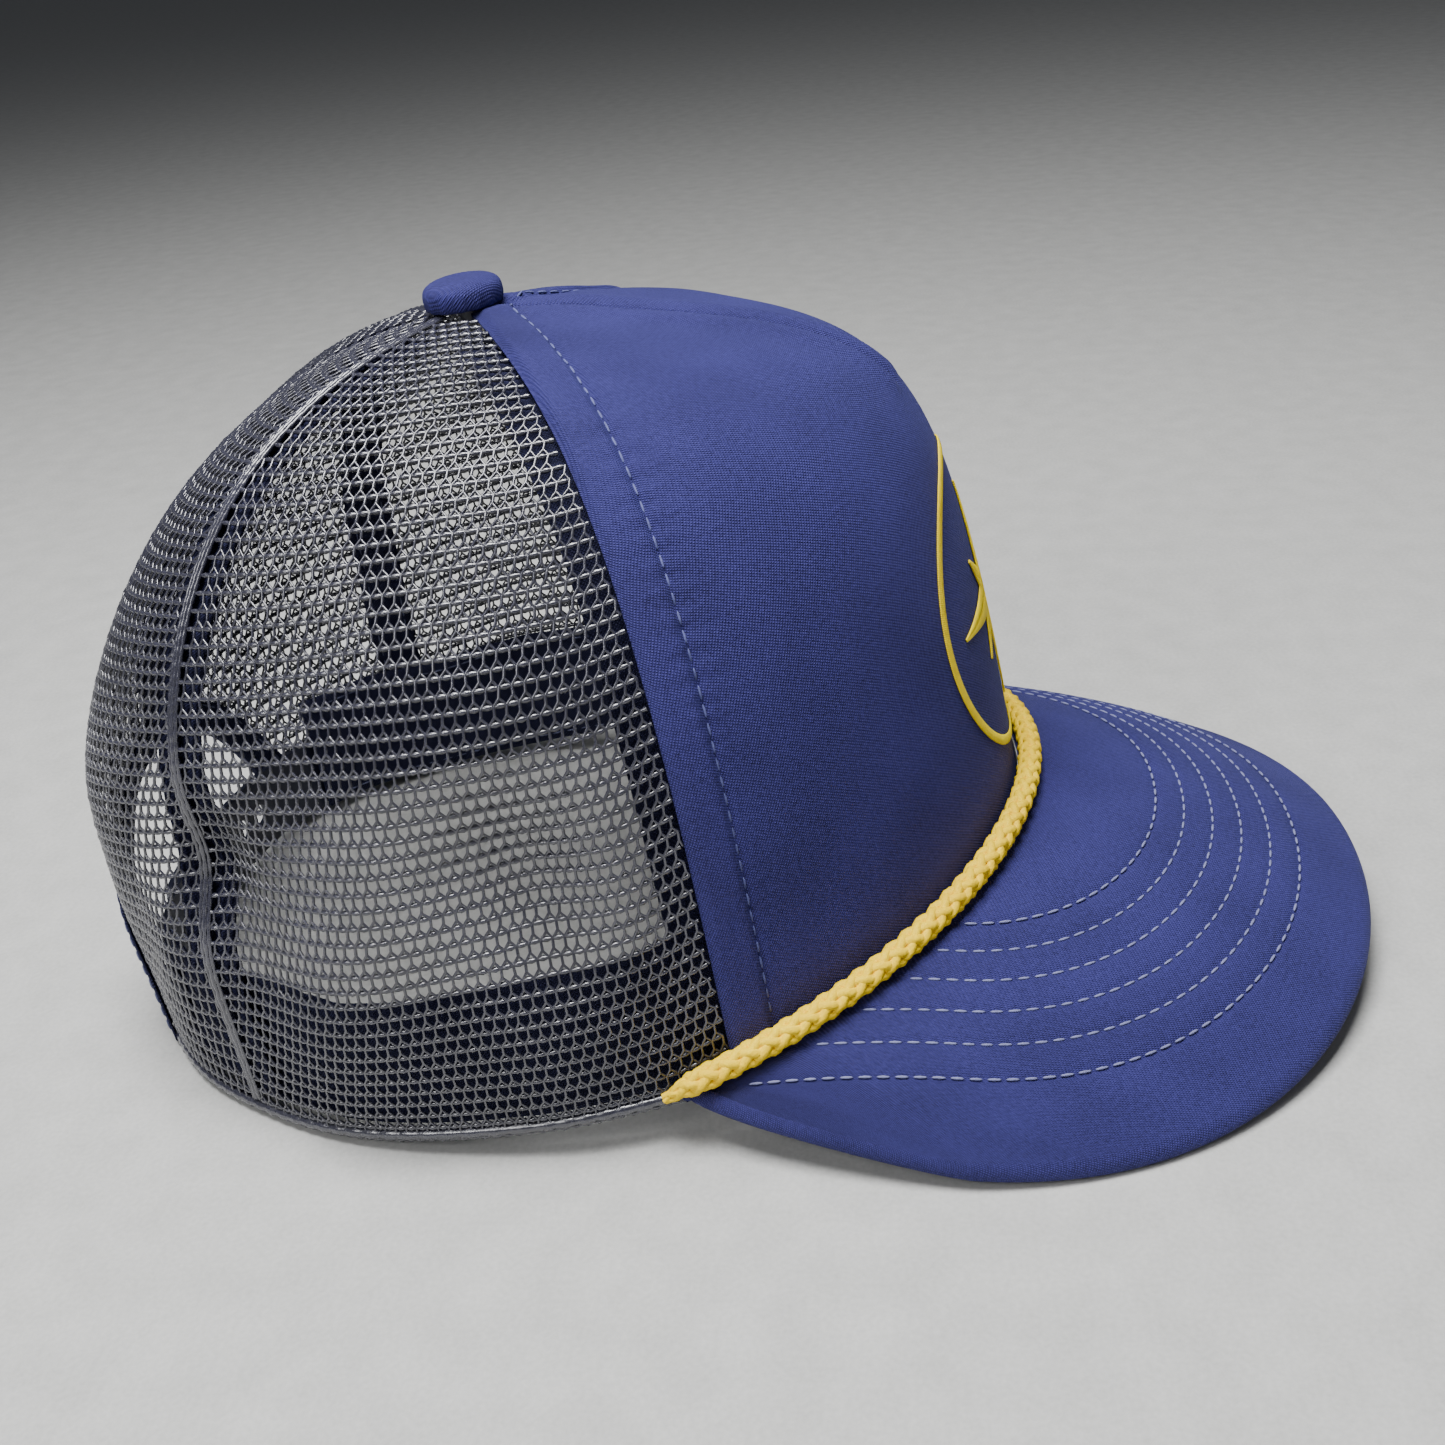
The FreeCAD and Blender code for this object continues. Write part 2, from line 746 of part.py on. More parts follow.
def make_button():
    """Cloth covered shell over a solid core, and the rivet that holds them from inside."""
    top = size("crown_height") + size("button_lift")
    cover = size("button_cover_thickness")

    shell = doc.addObject("PartDesign::Body", "button_cover")
    disc = padded_disc(shell, "button_diameter", "button_height")
    dome = shell.newObject("PartDesign::Fillet", "dome")
    dome.Base = (disc, [top_rim(disc)])
    dome.setExpression("Radius", cell("button_edge_radius"))
    doc.recompute()
    hollow_plan = new_sketch(shell, "hollow_plan", "XY_Plane")
    inner = size("button_diameter") / 2 - cover
    circle = hollow_plan.addGeometry(Part.Circle(Vector(0, 0, 0), Vector(0, 0, 1), inner))
    hollow_plan.addConstraint(Constraint("Coincident", circle, 3, -1, 1))
    formula = "button_diameter / 2 - button_cover_thickness"
    bind(hollow_plan, Constraint("Radius", circle, inner), "inner_radius", formula)
    hollow = shell.newObject("PartDesign::Pocket", "hollow")
    hollow.Profile = hollow_plan
    hollow.Reversed = True
    formula = "button_height - button_edge_radius"
    hollow.setExpression("Length", cell(formula))
    doc.recompute()
    add_node(shell, "button_cover", Placement(Vector(0, 0, top), Rotation()))

    core = doc.addObject("Part::Cylinder", "button_core")
    core.setExpression("Radius", cell("button_diameter / 2 - button_cover_thickness - layer_gap"))
    core.setExpression("Height", cell("button_height - button_edge_radius - layer_gap"))
    doc.recompute()
    add_node(core, "button_core", Placement(Vector(0, 0, top), Rotation()))

    plate = doc.addObject("Part::Cylinder", "rivet_plate")
    plate.setExpression("Radius", cell("rivet_diameter / 2"))
    plate.setExpression("Height", cell("rivet_thickness"))
    stem = doc.addObject("Part::Cylinder", "rivet_stem")
    stem.setExpression("Radius", cell("rivet_stem_diameter / 2"))
    stem.setExpression("Height", cell("rivet_drop + button_lift - layer_gap"))
    rivet = doc.addObject("Part::Fuse", "button_rivet")
    rivet.Base = plate
    rivet.Tool = stem
    doc.recompute()
    below = Placement(Vector(0, 0, size("crown_height") - size("rivet_drop")), Rotation())
    add_node(rivet, "button_rivet", below)


# ---------------------------------------------------------------- snap closure

PEG_STEP = math.degrees(size("peg_pitch") / size("strap_bend_radius"))
TIP_ANGLE = math.degrees(size("peg_edge_distance") / size("strap_bend_radius"))
ENGAGED_HALF = (size("engaged_pegs") - 1) / 2
ARCH_SPAN = math.degrees(
    math.asin((size("arch_half_width") - size("hinge_inset")) / size("strap_bend_radius"))
)
PEGS_SPAN = (size("peg_count") - 1 - ENGAGED_HALF) * PEG_STEP + TIP_ANGLE
# the straps bend just inside the arch, or further out when their pegs need the length
HALF_SPAN = max(ARCH_SPAN, PEGS_SPAN)
HINGE_X = size("strap_bend_radius") * math.sin(math.radians(HALF_SPAN))
FIRST_PEG_ANGLE = HALF_SPAN + ENGAGED_HALF * PEG_STEP
HOLE_STRAP_RADIUS = size("strap_bend_radius") + size("strap_thickness") + size("strap_gap")

TO_DEGREES = "* 180 deg / pi"
STEP_FORMULA = f"peg_pitch / strap_bend_radius {TO_DEGREES}"
TIP_FORMULA = f"90 deg - peg_edge_distance / strap_bend_radius {TO_DEGREES}"
ARCH_SPAN_FORMULA = "asin((arch_half_width - hinge_inset) / strap_bend_radius)"
PEGS_SPAN_FORMULA = (
    f"(peg_count - 1 - (engaged_pegs - 1) / 2) * {STEP_FORMULA}"
    f" + peg_edge_distance / strap_bend_radius {TO_DEGREES}"
)
ROOT_FORMULA = (
    f"90 deg + max({ARCH_SPAN_FORMULA}; {PEGS_SPAN_FORMULA})"
    f" + (engaged_pegs - 1) / 2 * {STEP_FORMULA}"
)


def wall_y(x):
    """Outer face of the crown's back hem at a distance from the centre line."""
    share = abs(x) / size("crown_half_width")
    roundness = size("rear_roundness")
    return size("crown_half_length") * (1 - share**roundness) ** (1 / roundness)


def closure_centre():
    """Centre of the straps' bend, set so that the outer strap clears the inside of the binding."""
    inside = size("mesh_thickness") + size("binding_thickness") + size("layer_gap")
    slope = math.atan2(wall_y(HINGE_X) - wall_y(HINGE_X + 1.0), 1.0)
    hinge_face = wall_y(HINGE_X) - (inside + size("strap_gap")) / math.cos(slope)
    outer = HOLE_STRAP_RADIUS + size("strap_thickness")
    bottom = size("back_hem_height") + size("strap_lift")
    centre_y = hinge_face - outer * math.cos(math.radians(HALF_SPAN))
    return Vector(0, centre_y, bottom + size("strap_height") / 2)


def hinge_point(side, inner_radius):
    """Where a strap bends at its sewn root: the middle of its thickness, at mid height."""
    radius = inner_radius + size("strap_thickness") / 2
    angle = math.radians(HALF_SPAN)
    reach = Vector(side * radius * math.sin(angle), radius * math.cos(angle), 0)
    return closure_centre() + reach


def strap_plan(body, inner_formula, inner_radius):
    """Plan of a strap: a piece of a ring round the body's origin, from tip to hinge."""
    sketch = new_sketch(body, "plan", "XY_Plane")
    outer_radius = inner_radius + size("strap_thickness")
    tip = 90.0 - TIP_ANGLE
    root = 90.0 + FIRST_PEG_ANGLE
    ends = (math.radians(tip), math.radians(root))

    def arc(radius):
        circle = Part.Circle(Vector(0, 0, 0), Vector(0, 0, 1), radius)
        index = sketch.addGeometry(Part.ArcOfCircle(circle, *ends))
        sketch.addConstraint(Constraint("Coincident", index, 3, -1, 1))
        return index

    def end_line(angle):
        away = Vector(math.cos(angle), math.sin(angle), 0)
        return sketch.addGeometry(Part.LineSegment(away * inner_radius, away * outer_radius))

    inner, outer = arc(inner_radius), arc(outer_radius)
    tip_line, root_line = end_line(ends[0]), end_line(ends[1])
    for line, arc_end in ((tip_line, 1), (root_line, 2)):
        sketch.addConstraint(Constraint("Coincident", line, 1, inner, arc_end))
        sketch.addConstraint(Constraint("Coincident", line, 2, outer, arc_end))
        sketch.addConstraint(Constraint("PointOnObject", -1, 1, line))
    bind(sketch, Constraint("Radius", inner, inner_radius), "inner_radius", inner_formula)
    formula = f"{inner_formula} + strap_thickness"
    bind(sketch, Constraint("Radius", outer, outer_radius), "outer_radius", formula)
    bind(sketch, Constraint("Angle", tip_line, ends[0]), "tip_angle", TIP_FORMULA)
    bind(sketch, Constraint("Angle", root_line, ends[1]), "root_angle", ROOT_FORMULA)
    return sketch


def round_tip(body, band, inner_radius):
    """Round the two corners of the strap's free end."""
    tip = math.radians(90.0 - TIP_ANGLE)
    middle = inner_radius + size("strap_thickness") / 2
    tip_x = middle * math.cos(tip)
    names = []
    for number, edge in enumerate(band.Shape.Edges, start=1):
        short = abs(edge.Length - size("strap_thickness")) < 0.01
        if short and abs(edge.CenterOfMass.x - tip_x) < 0.5:
            names.append(f"Edge{number}")
    corners = body.newObject("PartDesign::Fillet", "rounded_tip")
    corners.Base = (band, names)
    corners.setExpression("Radius", cell("strap_corner_radius"))
    doc.recompute()
    return corners


def spread_along_strap(body, feature):
    """Repeat a peg or a hole along the strap, towards its hinge."""
    pattern = body.newObject("PartDesign::PolarPattern", "spread")
    pattern.Originals = [feature]
    pattern.Axis = (next(f for f in body.Origin.OriginFeatures if f.Role == "Z_Axis"), [""])
    pattern.setExpression("Angle", cell(f"(peg_count - 1) * {STEP_FORMULA}"))
    pattern.setExpression("Occurrences", cell("peg_count"))
    body.Tip = pattern
    doc.recompute()
    return pattern


def radial_sketch(body, name, offset_formula):
    """A sketch that faces out along +Y, at a distance from the bend's centre."""
    sketch = new_sketch(body, name, "XZ_Plane")
    sketch.setExpression(".AttachmentOffset.Base.z", cell(offset_formula))
    return sketch


def make_strap(label, side, inner_formula, inner_radius, has_pegs):
    """One plastic strap; side is +1 when its sewn root is on the wearer's left."""
    body = doc.addObject("PartDesign::Body", label)
    plan = strap_plan(body, inner_formula, inner_radius)
    band = body.newObject("PartDesign::Pad", "band")
    band.Profile = plan
    band.Midplane = True
    band.setExpression("Length", cell("strap_height"))
    doc.recompute()
    round_tip(body, band, inner_radius)
    plain_volume = body.Shape.Volume
    if has_pegs:
        face = radial_sketch(body, "peg", f"-({inner_formula} + strap_thickness / 2)")
        centred_circle(face, "peg_diameter")
        stud = body.newObject("PartDesign::Pad", "stud")
        stud.Profile = face
        stud.setExpression("Length", cell("strap_thickness / 2 + peg_height"))
        stud.Reversed = True
    else:
        face = radial_sketch(body, "hole", f"-({inner_formula} - strap_thickness)")
        circle_radius = size("peg_diameter") / 2 + size("peg_hole_gap")
        circle = face.addGeometry(Part.Circle(Vector(), Vector(0, 0, 1), circle_radius))
        face.addConstraint(Constraint("Coincident", circle, 3, -1, 1))
        radius = Constraint("Radius", circle, circle_radius)
        bind(face, radius, "radius", "peg_diameter / 2 + peg_hole_gap")
        stud = body.newObject("PartDesign::Pocket", "hole_cut")
        stud.Profile = face
        stud.setExpression("Length", cell("strap_thickness * 3"))
    doc.recompute()
    spread_along_strap(body, stud)
    changed = body.Shape.Volume - plain_volume
    if (changed > 0) != has_pegs:
        raise ValueError(f"{label}: pegs or holes point the wrong way")
    turn_over = Rotation(Vector(0, 1, 0), 180.0 if side > 0 else 0.0)
    swing = Rotation(Vector(0, 0, 1), side * (FIRST_PEG_ANGLE - HALF_SPAN))
    add_node(body, label, Placement(closure_centre(), swing.multiply(turn_over)))


def make_strap_root(label, side, inner_radius):
    """The end of the strap that is sewn behind the mesh, along the crown's wall."""
    block = doc.addObject("Part::Box", label)
    block.setExpression("Length", cell("strap_root_length"))
    block.setExpression("Width", cell("strap_thickness"))
    block.setExpression("Height", cell("strap_height"))
    hinge = hinge_point(side, inner_radius)
    length = size("strap_root_length")
    drop = wall_y(HINGE_X) - wall_y(HINGE_X + length)
    turn = -math.degrees(math.atan2(drop, length))
    if side < 0:
        turn = 180.0 - turn
    along = Rotation(Vector(0, 0, 1), turn)
    start = size("strap_thickness") / 2 + size("hinge_gap")
    offset = Vector(start, -size("strap_thickness") / 2, -size("strap_height") / 2)
    corner = hinge + along.multVec(offset)
    doc.recompute()
    add_node(block, label, Placement(corner, along))


def make_closure():
    """The peg strap lies inside, the hole strap outside it."""
    peg_radius = size("strap_bend_radius")
    hole_formula = "(strap_bend_radius + strap_thickness + strap_gap)"
    make_strap("peg_strap", -1, "strap_bend_radius", peg_radius, True)
    make_strap("hole_strap", 1, hole_formula, HOLE_STRAP_RADIUS, False)
    make_strap_root("peg_strap_root", -1, peg_radius)
    make_strap_root("hole_strap_root", 1, HOLE_STRAP_RADIUS)


# ---------------------------------------------------------------- build and write


def check_document():
    """Stop if any object failed or any piece has no sound shape."""
    doc.recompute()
    failed = [o.Label for o in doc.Objects if "Invalid" in o.State or "Error" in o.State]
    failed += [n.Label for n in NODES if n.Shape.isNull() or not n.Shape.isValid()]
    if failed:
        raise ValueError(f"these did not build: {failed}")


def write_parts():
    os.makedirs("parts", exist_ok=True)
    for node in NODES:
        node.Shape.exportStep(os.path.join("parts", f"{node.Label}.step"))


make_front()
make_mesh()
make_tapes()
make_sweatband()
make_binding()
make_brim()
make_brim_stitching()
make_rope()
make_emblem()
make_button()
make_closure()
check_document()
write_parts()
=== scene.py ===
"""Looks of the trucker mesh cap: navy cloth front over foam, knitted mesh sides, stitched brim,
rope braid, button, emblem, linings and snap closure, each built round the CAD frame."""
import json
import math
import random

import bmesh
import bpy
import numpy as np
from bpy.props import FloatProperty, FloatVectorProperty, IntProperty, PointerProperty
from mathutils import Matrix, Vector
from mathutils.bvhtree import BVHTree


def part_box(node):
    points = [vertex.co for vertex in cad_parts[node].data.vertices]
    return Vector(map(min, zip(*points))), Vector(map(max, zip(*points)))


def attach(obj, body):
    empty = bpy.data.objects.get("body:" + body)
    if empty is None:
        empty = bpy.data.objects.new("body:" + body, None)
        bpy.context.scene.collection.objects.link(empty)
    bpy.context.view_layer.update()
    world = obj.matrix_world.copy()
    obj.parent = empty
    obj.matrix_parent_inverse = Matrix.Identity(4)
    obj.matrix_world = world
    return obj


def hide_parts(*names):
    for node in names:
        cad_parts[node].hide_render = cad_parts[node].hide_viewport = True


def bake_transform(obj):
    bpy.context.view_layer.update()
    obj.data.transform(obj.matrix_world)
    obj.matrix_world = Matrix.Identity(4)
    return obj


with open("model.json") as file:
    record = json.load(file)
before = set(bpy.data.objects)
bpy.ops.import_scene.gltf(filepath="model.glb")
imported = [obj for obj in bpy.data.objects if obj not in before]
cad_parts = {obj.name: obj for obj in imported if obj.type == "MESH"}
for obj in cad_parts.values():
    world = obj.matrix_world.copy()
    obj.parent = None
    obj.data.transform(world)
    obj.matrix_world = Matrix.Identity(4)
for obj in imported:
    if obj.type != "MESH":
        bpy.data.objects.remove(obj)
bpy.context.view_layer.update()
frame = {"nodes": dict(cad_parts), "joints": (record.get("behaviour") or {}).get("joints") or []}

bl_info = {
    "name": "Trucker mesh cap",
    "version": (1, 0, 0),
    "blender": (4, 5, 0),
    "location": "View3D > Sidebar > Cap",
    "description": "Builds the cap's cloth, mesh, brim, rope and closure round its CAD frame",
    "category": "Object",
}

MM = 0.001
CORE_LIFT = 0.4 * MM  # gap between the crown's top and the button's core
CORE_HALF_THICKNESS = 0.575 * MM
FRONT_SHARE = 0.8  # share of the brim's edge, from its middle, that is the front curve
FOLD_DEPTH = 1.5 * MM  # how strongly the limp mesh folds


# ------------------------------------------------------------------ sizes and colours


def length(name, description, default_mm):
    """A length that a user may change, shown in the scene's unit."""
    return FloatProperty(
        name=name, description=description, default=default_mm * MM, unit="LENGTH", precision=5
    )


def angle(name, description, default_degrees):
    return FloatProperty(
        name=name, description=description, default=math.radians(default_degrees), unit="ROTATION"
    )


def colour(name, description, default):
    return FloatVectorProperty(
        name=name, description=description, default=default, size=3, subtype="COLOR", min=0, max=1
    )


def factor(name, description, default):
    return FloatProperty(name=name, description=description, default=default)


class CrownSizes(bpy.types.PropertyGroup):
    """Shape of the crown, the same profile family as the frame's panels."""

    half_width: length("Half width", "Half of the crown's width at the hem", 84.5)
    half_length: length("Half length", "Half of the crown's length at the hem", 99.0)
    height: length("Height", "Height of the crown over its hem line", 132.0)
    rear_roundness: factor("Rear roundness", "Squareness of the back of the hem", 2.35)
    back_hem: length("Back hem", "Height of the hem at the back", -5.0)
    side_sag: length("Side sag", "How far the side hem hangs down", 2.5)
    front_reach: factor("Front reach", "Shoulder's reach at the front", 0.925)
    front_rise: factor("Front rise", "Shoulder's rise at the front", 0.885)
    front_pull: factor("Front pull", "How sharp the front shoulder is", 3.0)
    side_reach: factor("Side reach", "Shoulder's reach at the sides", 0.975)
    side_rise: factor("Side rise", "Shoulder's rise at the sides", 0.955)
    side_pull: factor("Side pull", "How sharp the side shoulder is", 1.4)
    back_reach: factor("Back reach", "Shoulder's reach at the back", 1.115)
    back_rise: factor("Back rise", "Shoulder's rise at the back", 0.965)
    back_pull: factor("Back pull", "How sharp the back shoulder is", 0.78)
    front_seam: angle("Front seam", "Angle of the seam between cloth and mesh", 67.0)
    rear_seam: angle("Rear seam", "Angle of the seam between side and back mesh", 124.0)
    top_radius: length("Top radius", "Where the panels end under the button", 4.0)
    arch_half_width: length("Arch half width", "Half of the back opening's width", 42.0)
    arch_height: length("Arch height", "Height of the back opening", 48.0)


class BrimSizes(bpy.types.PropertyGroup):
    """Outline and bend of the brim."""

    width: length("Width", "Width across the brim's sides", 192.0)
    reach: length("Reach", "Length of the brim at its middle", 72.0)
    front_height: length("Front height", "Height of the brim where it meets the front", 18.0)
    slope: factor("Slope", "Rise per length towards the crown", 0.25)
    curl: factor("Side curl", "How fast the sides curl down, per metre", 3.8)
    droop: factor("Droop", "How fast the tip drops, per metre", 2.5)
    corner: angle("Corner", "Angle where the brim ends on the crown", 73.0)
    widest: length("Widest station", "Station of the brim's widest place", -82.0)
    front_square: factor("Front squareness", "Squareness of the front edge", 2.1)
    rear_square: factor("Rear squareness", "Squareness of the rear edge", 1.33)
    thickness: length("Thickness", "Thickness of board and cloths together", 3.7)
    rows: IntProperty(name="Stitch rows", description="Rows of stitching", default=6)
    outer_inset: length("Outer inset", "Distance of the outer row from the edge", 14.0)
    row_pitch: length("Row pitch", "Distance between the rows", 5.8)


class TrimSizes(bpy.types.PropertyGroup):
    """Sizes of the knit, the threads and the trims."""

    mesh_row: length("Mesh row", "Distance between the rows of the mesh", 3.1)
    mesh_column: length("Mesh column", "Distance between the columns of the mesh", 2.25)
    mesh_band: length("Mesh band", "Radius of the thick strand along a row", 0.56)
    mesh_yarn: length("Mesh yarn", "Radius of the thin linking yarns", 0.25)
    stitch: length("Stitch", "Length of one stitch", 2.7)
    stitch_gap: length("Stitch gap", "Gap between two stitches", 0.7)
    thread: length("Thread", "Radius of the sewing thread", 0.3)
    fold: length("Fold", "Width of the folded band beside the front seam", 8.5)
    rope_radius: length("Rope radius", "Outer radius of the rope braid", 2.5)
    rope_gap: length("Rope gap", "Gap between the rope and what it lies on", 0.45)
    rope_lay: length("Rope lay", "Length of one turn of the rope's strands", 17.0)
    tape: length("Tape", "Width of the seam tapes", 12.0)
    sweatband: length("Sweatband", "Height of the sweatband", 32.0)
    binding: length("Binding", "Width of the tape folded over the back arch", 7.0)
    emblem: length("Emblem", "Outer diameter of the emblem's ring", 66.0)
    emblem_height: length("Emblem height", "Height of the emblem's middle", 58.0)
    star: length("Star", "Diameter of the compass star", 50.0)


class Finishes(bpy.types.PropertyGroup):
    """Base colours of the cap's materials."""

    cloth: colour("Cloth", "Navy polyester cloth", (0.0165, 0.0155, 0.080))
    mesh: colour("Mesh", "Black-navy mesh yarn", (0.017, 0.017, 0.027))
    tape: colour("Tape", "Navy tape inside the crown", (0.007, 0.0075, 0.026))
    foam: colour("Foam", "Foam behind the front", (0.60, 0.59, 0.55))
    thread: colour("Thread", "Stitching of the brim", (0.17, 0.18, 0.34))
    rope: colour("Rope", "Golden rope braid", (1.0, 0.60, 0.0))
    gold: colour("Gold thread", "Embroidery of the emblem", (1.0, 0.68, 0.0))
    plastic: colour("Plastic", "Plastic of the snap straps", (0.012, 0.014, 0.034))
    metal: colour("Metal", "Painted metal of the rivet", (0.35, 0.35, 0.37))
    board: colour("Board", "Plastic board in the brim", (0.7, 0.7, 0.68))


# ------------------------------------------------------------------ shape of the cap


def smooth_step(share):
    share = np.clip(share, 0.0, 1.0)
    return share * share * (3 - 2 * share)


def signed_power(value, exponent):
    return np.sign(value) * np.abs(value) ** exponent


def bell(distance, width):
    """A soft bump of height one at distance zero."""
    return np.exp(-((distance / width) ** 2))


class CapShape:
    """The crown and the brim as formulas, in metres, with arrays of angles and shares.

    Angles run from the front centre towards the wearer's left; a share runs from 0 at the hem to
    1 at the top.  The cap's own upright frame is pitched into the row frame by to_row.
    """

    def __init__(self, scene):
        self.crown = scene.cap_crown
        self.brim = scene.cap_brim
        self.trim = scene.cap_trim
        crown, brim = self.crown, self.brim
        self.half_width = crown.half_width
        self.half_length = crown.half_length
        self.height = crown.height
        self.profiles = {
            name: [getattr(crown, f"{place}_{name}") for place in ("front", "side", "back")]
            for name in ("reach", "rise", "pull")
        }
        self.corner = brim.corner
        self.roundness = crown.rear_roundness
        self.thickness = brim.thickness
        self.bend = (brim.front_height, brim.slope, brim.droop, brim.curl)
        self.row_matrix = self.resting_matrix()

    def resting_matrix(self):
        """The frame's pitch, from its hinge axis, and its place, from the button's core."""
        axis = Vector(frame["joints"][0]["axis"])
        turn = Matrix.Rotation(-math.atan2(axis.y, axis.z), 4, "X")
        low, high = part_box("button_core")
        middle = (low + high) / 2
        core_height = self.height + CORE_LIFT + CORE_HALF_THICKNESS
        return Matrix.Translation(middle - turn @ Vector((0, 0, core_height))) @ turn

    def to_row(self, points):
        """Points of the cap's own frame, as an array, in the row frame."""
        matrix = np.array(self.row_matrix)
        return np.asarray(points) @ matrix[:3, :3].T + matrix[:3, 3]

    def brim_height(self, x, y):
        """Height of the brim's upper face in the cap's own frame."""
        front, slope, droop, curl = self.bend
        ahead = y + self.half_length
        return front + slope * ahead - droop * ahead**2 - curl * x**2

    def hem(self, theta):
        theta = np.asarray(theta, float)
        sine, cosine = np.sin(theta), np.cos(theta)
        exponent = np.where(cosine >= 0, 1.0, 2 / self.roundness)
        x = self.half_width * signed_power(sine, exponent)
        y = -self.half_length * signed_power(cosine, exponent)
        turn = np.abs(theta)
        corner_x = self.half_width * math.sin(self.corner)
        corner_y = -self.half_length * math.cos(self.corner)
        corner_z = self.brim_height(corner_x, corner_y) - self.thickness
        share = smooth_step((turn - self.corner) / (math.radians(150) - self.corner))
        sagging = np.clip(1 - ((turn - math.radians(110)) / math.radians(37)) ** 2, 0, 1) ** 2
        behind = corner_z + (self.crown.back_hem - corner_z) * share
        behind = behind - self.crown.side_sag * sagging
        ahead = self.brim_height(x, y) - self.thickness
        return np.stack([x, y, np.where(turn <= self.corner, ahead, behind)], -1)

    def blended(self, theta, name, sharpness=1.5):
        front, side, back = self.profiles[name]
        cosine = np.cos(theta)
        to_front = np.clip(cosine, 0, 1) ** sharpness
        to_back = np.clip(-cosine, 0, 1) ** sharpness
        return side + (front - side) * to_front + (back - side) * to_back

    def crown_point(self, theta, share, depth=0.0):
        """Points of the crown, moved in by a depth, in the cap's own frame."""
        theta, share = np.broadcast_arrays(np.asarray(theta, float), np.asarray(share, float))
        hem = self.hem(theta)
        reach = np.hypot(hem[..., 0], hem[..., 1])
        outward = hem[..., :2] / reach[..., None]
        rise = self.height - hem[..., 2]
        pull = self.blended(theta, "pull", 2.5)
        low = (1 - share) ** 2
        middle = 2 * share * (1 - share) * pull
        high = share**2
        total = low + middle + high
        shoulder_reach = reach * self.blended(theta, "reach") - depth
        radius = (low * (reach - depth) + middle * shoulder_reach) / total
        shoulder_z = hem[..., 2] + rise * self.blended(theta, "rise") - depth
        z = (low * hem[..., 2] + middle * shoulder_z + high * (self.height - depth)) / total
        return np.concatenate([outward * radius[..., None], z[..., None]], -1)

    def crown_normal(self, theta, share):
        """Outward unit normals of the crown."""
        theta, share = np.broadcast_arrays(np.asarray(theta, float), np.asarray(share, float))
        step = 0.01
        around = self.crown_point(theta + step, share) - self.crown_point(theta - step, share)
        high = np.clip(share + step, 0, 0.995)
        low = high - 2 * step
        up = self.crown_point(theta, high) - self.crown_point(theta, low)
        normal = np.cross(around, up)
        return normal / np.linalg.norm(normal, axis=-1)[..., None]

    def share_at_height(self, theta, above_hem):
        """Share along each profile where it is that far above its hem."""
        rise = self.height - self.hem(theta)[..., 2]
        level = above_hem / rise
        pull = self.blended(theta, "pull", 2.5)
        shoulder = pull * self.blended(theta, "rise")
        square = level * (2 - 2 * pull) - 1 + 2 * shoulder
        linear = level * (2 * pull - 2) - 2 * shoulder
        root = np.sqrt(linear**2 - 4 * square * level)
        return 2 * level / (-linear + root)

    def top_share(self, theta, radius):
        """Share along each profile where it comes that close to the button's axis."""
        low = np.full(np.shape(theta), 0.5)
        high = np.ones(np.shape(theta))
        for _ in range(30):
            middle = (low + high) / 2
            point = self.crown_point(theta, middle)
            outside = np.hypot(point[..., 0], point[..., 1]) > radius
            low = np.where(outside, middle, low)
            high = np.where(outside, high, middle)
        return low

    # ---- relief of the soft panels

    def front_relief(self, theta, share):
        """How far the padded front stands proud: dart on top, folded band beside the seams."""
        point = self.crown_point(theta, share)
        radius = np.hypot(point[..., 0], point[..., 1])
        from_dart = radius * np.abs(theta)
        along = smooth_step((share - 0.43) / 0.07) * smooth_step((radius - 6 * MM) / (5 * MM))
        relief = along * (0.9 * MM * bell(from_dart - 5.5 * MM, 3.6 * MM))
        relief = relief - along * 1.5 * MM * bell(from_dart, 1.2 * MM)
        from_seam = radius * (self.crown.front_seam - np.abs(theta))
        fold = self.trim.fold
        relief = relief + 0.7 * MM * smooth_step((fold - from_seam) / (1.2 * MM))
        relief = relief - 0.6 * MM * bell(from_seam - fold, 0.8 * MM)
        relief = relief - 1.3 * MM * bell(from_seam, 1.1 * MM)
        height = point[..., 2]
        crinkle = np.sin(height / (0.62 * MM) + 2.2 * np.sin(height / (9 * MM)))
        relief = relief + 0.14 * MM * crinkle * bell(from_seam - fold, 4.5 * MM)
        puff = bell(from_seam - 2.6 * fold, 9 * MM) * 0.5 * MM
        return relief + puff * smooth_step((height - 25 * MM) / (20 * MM))

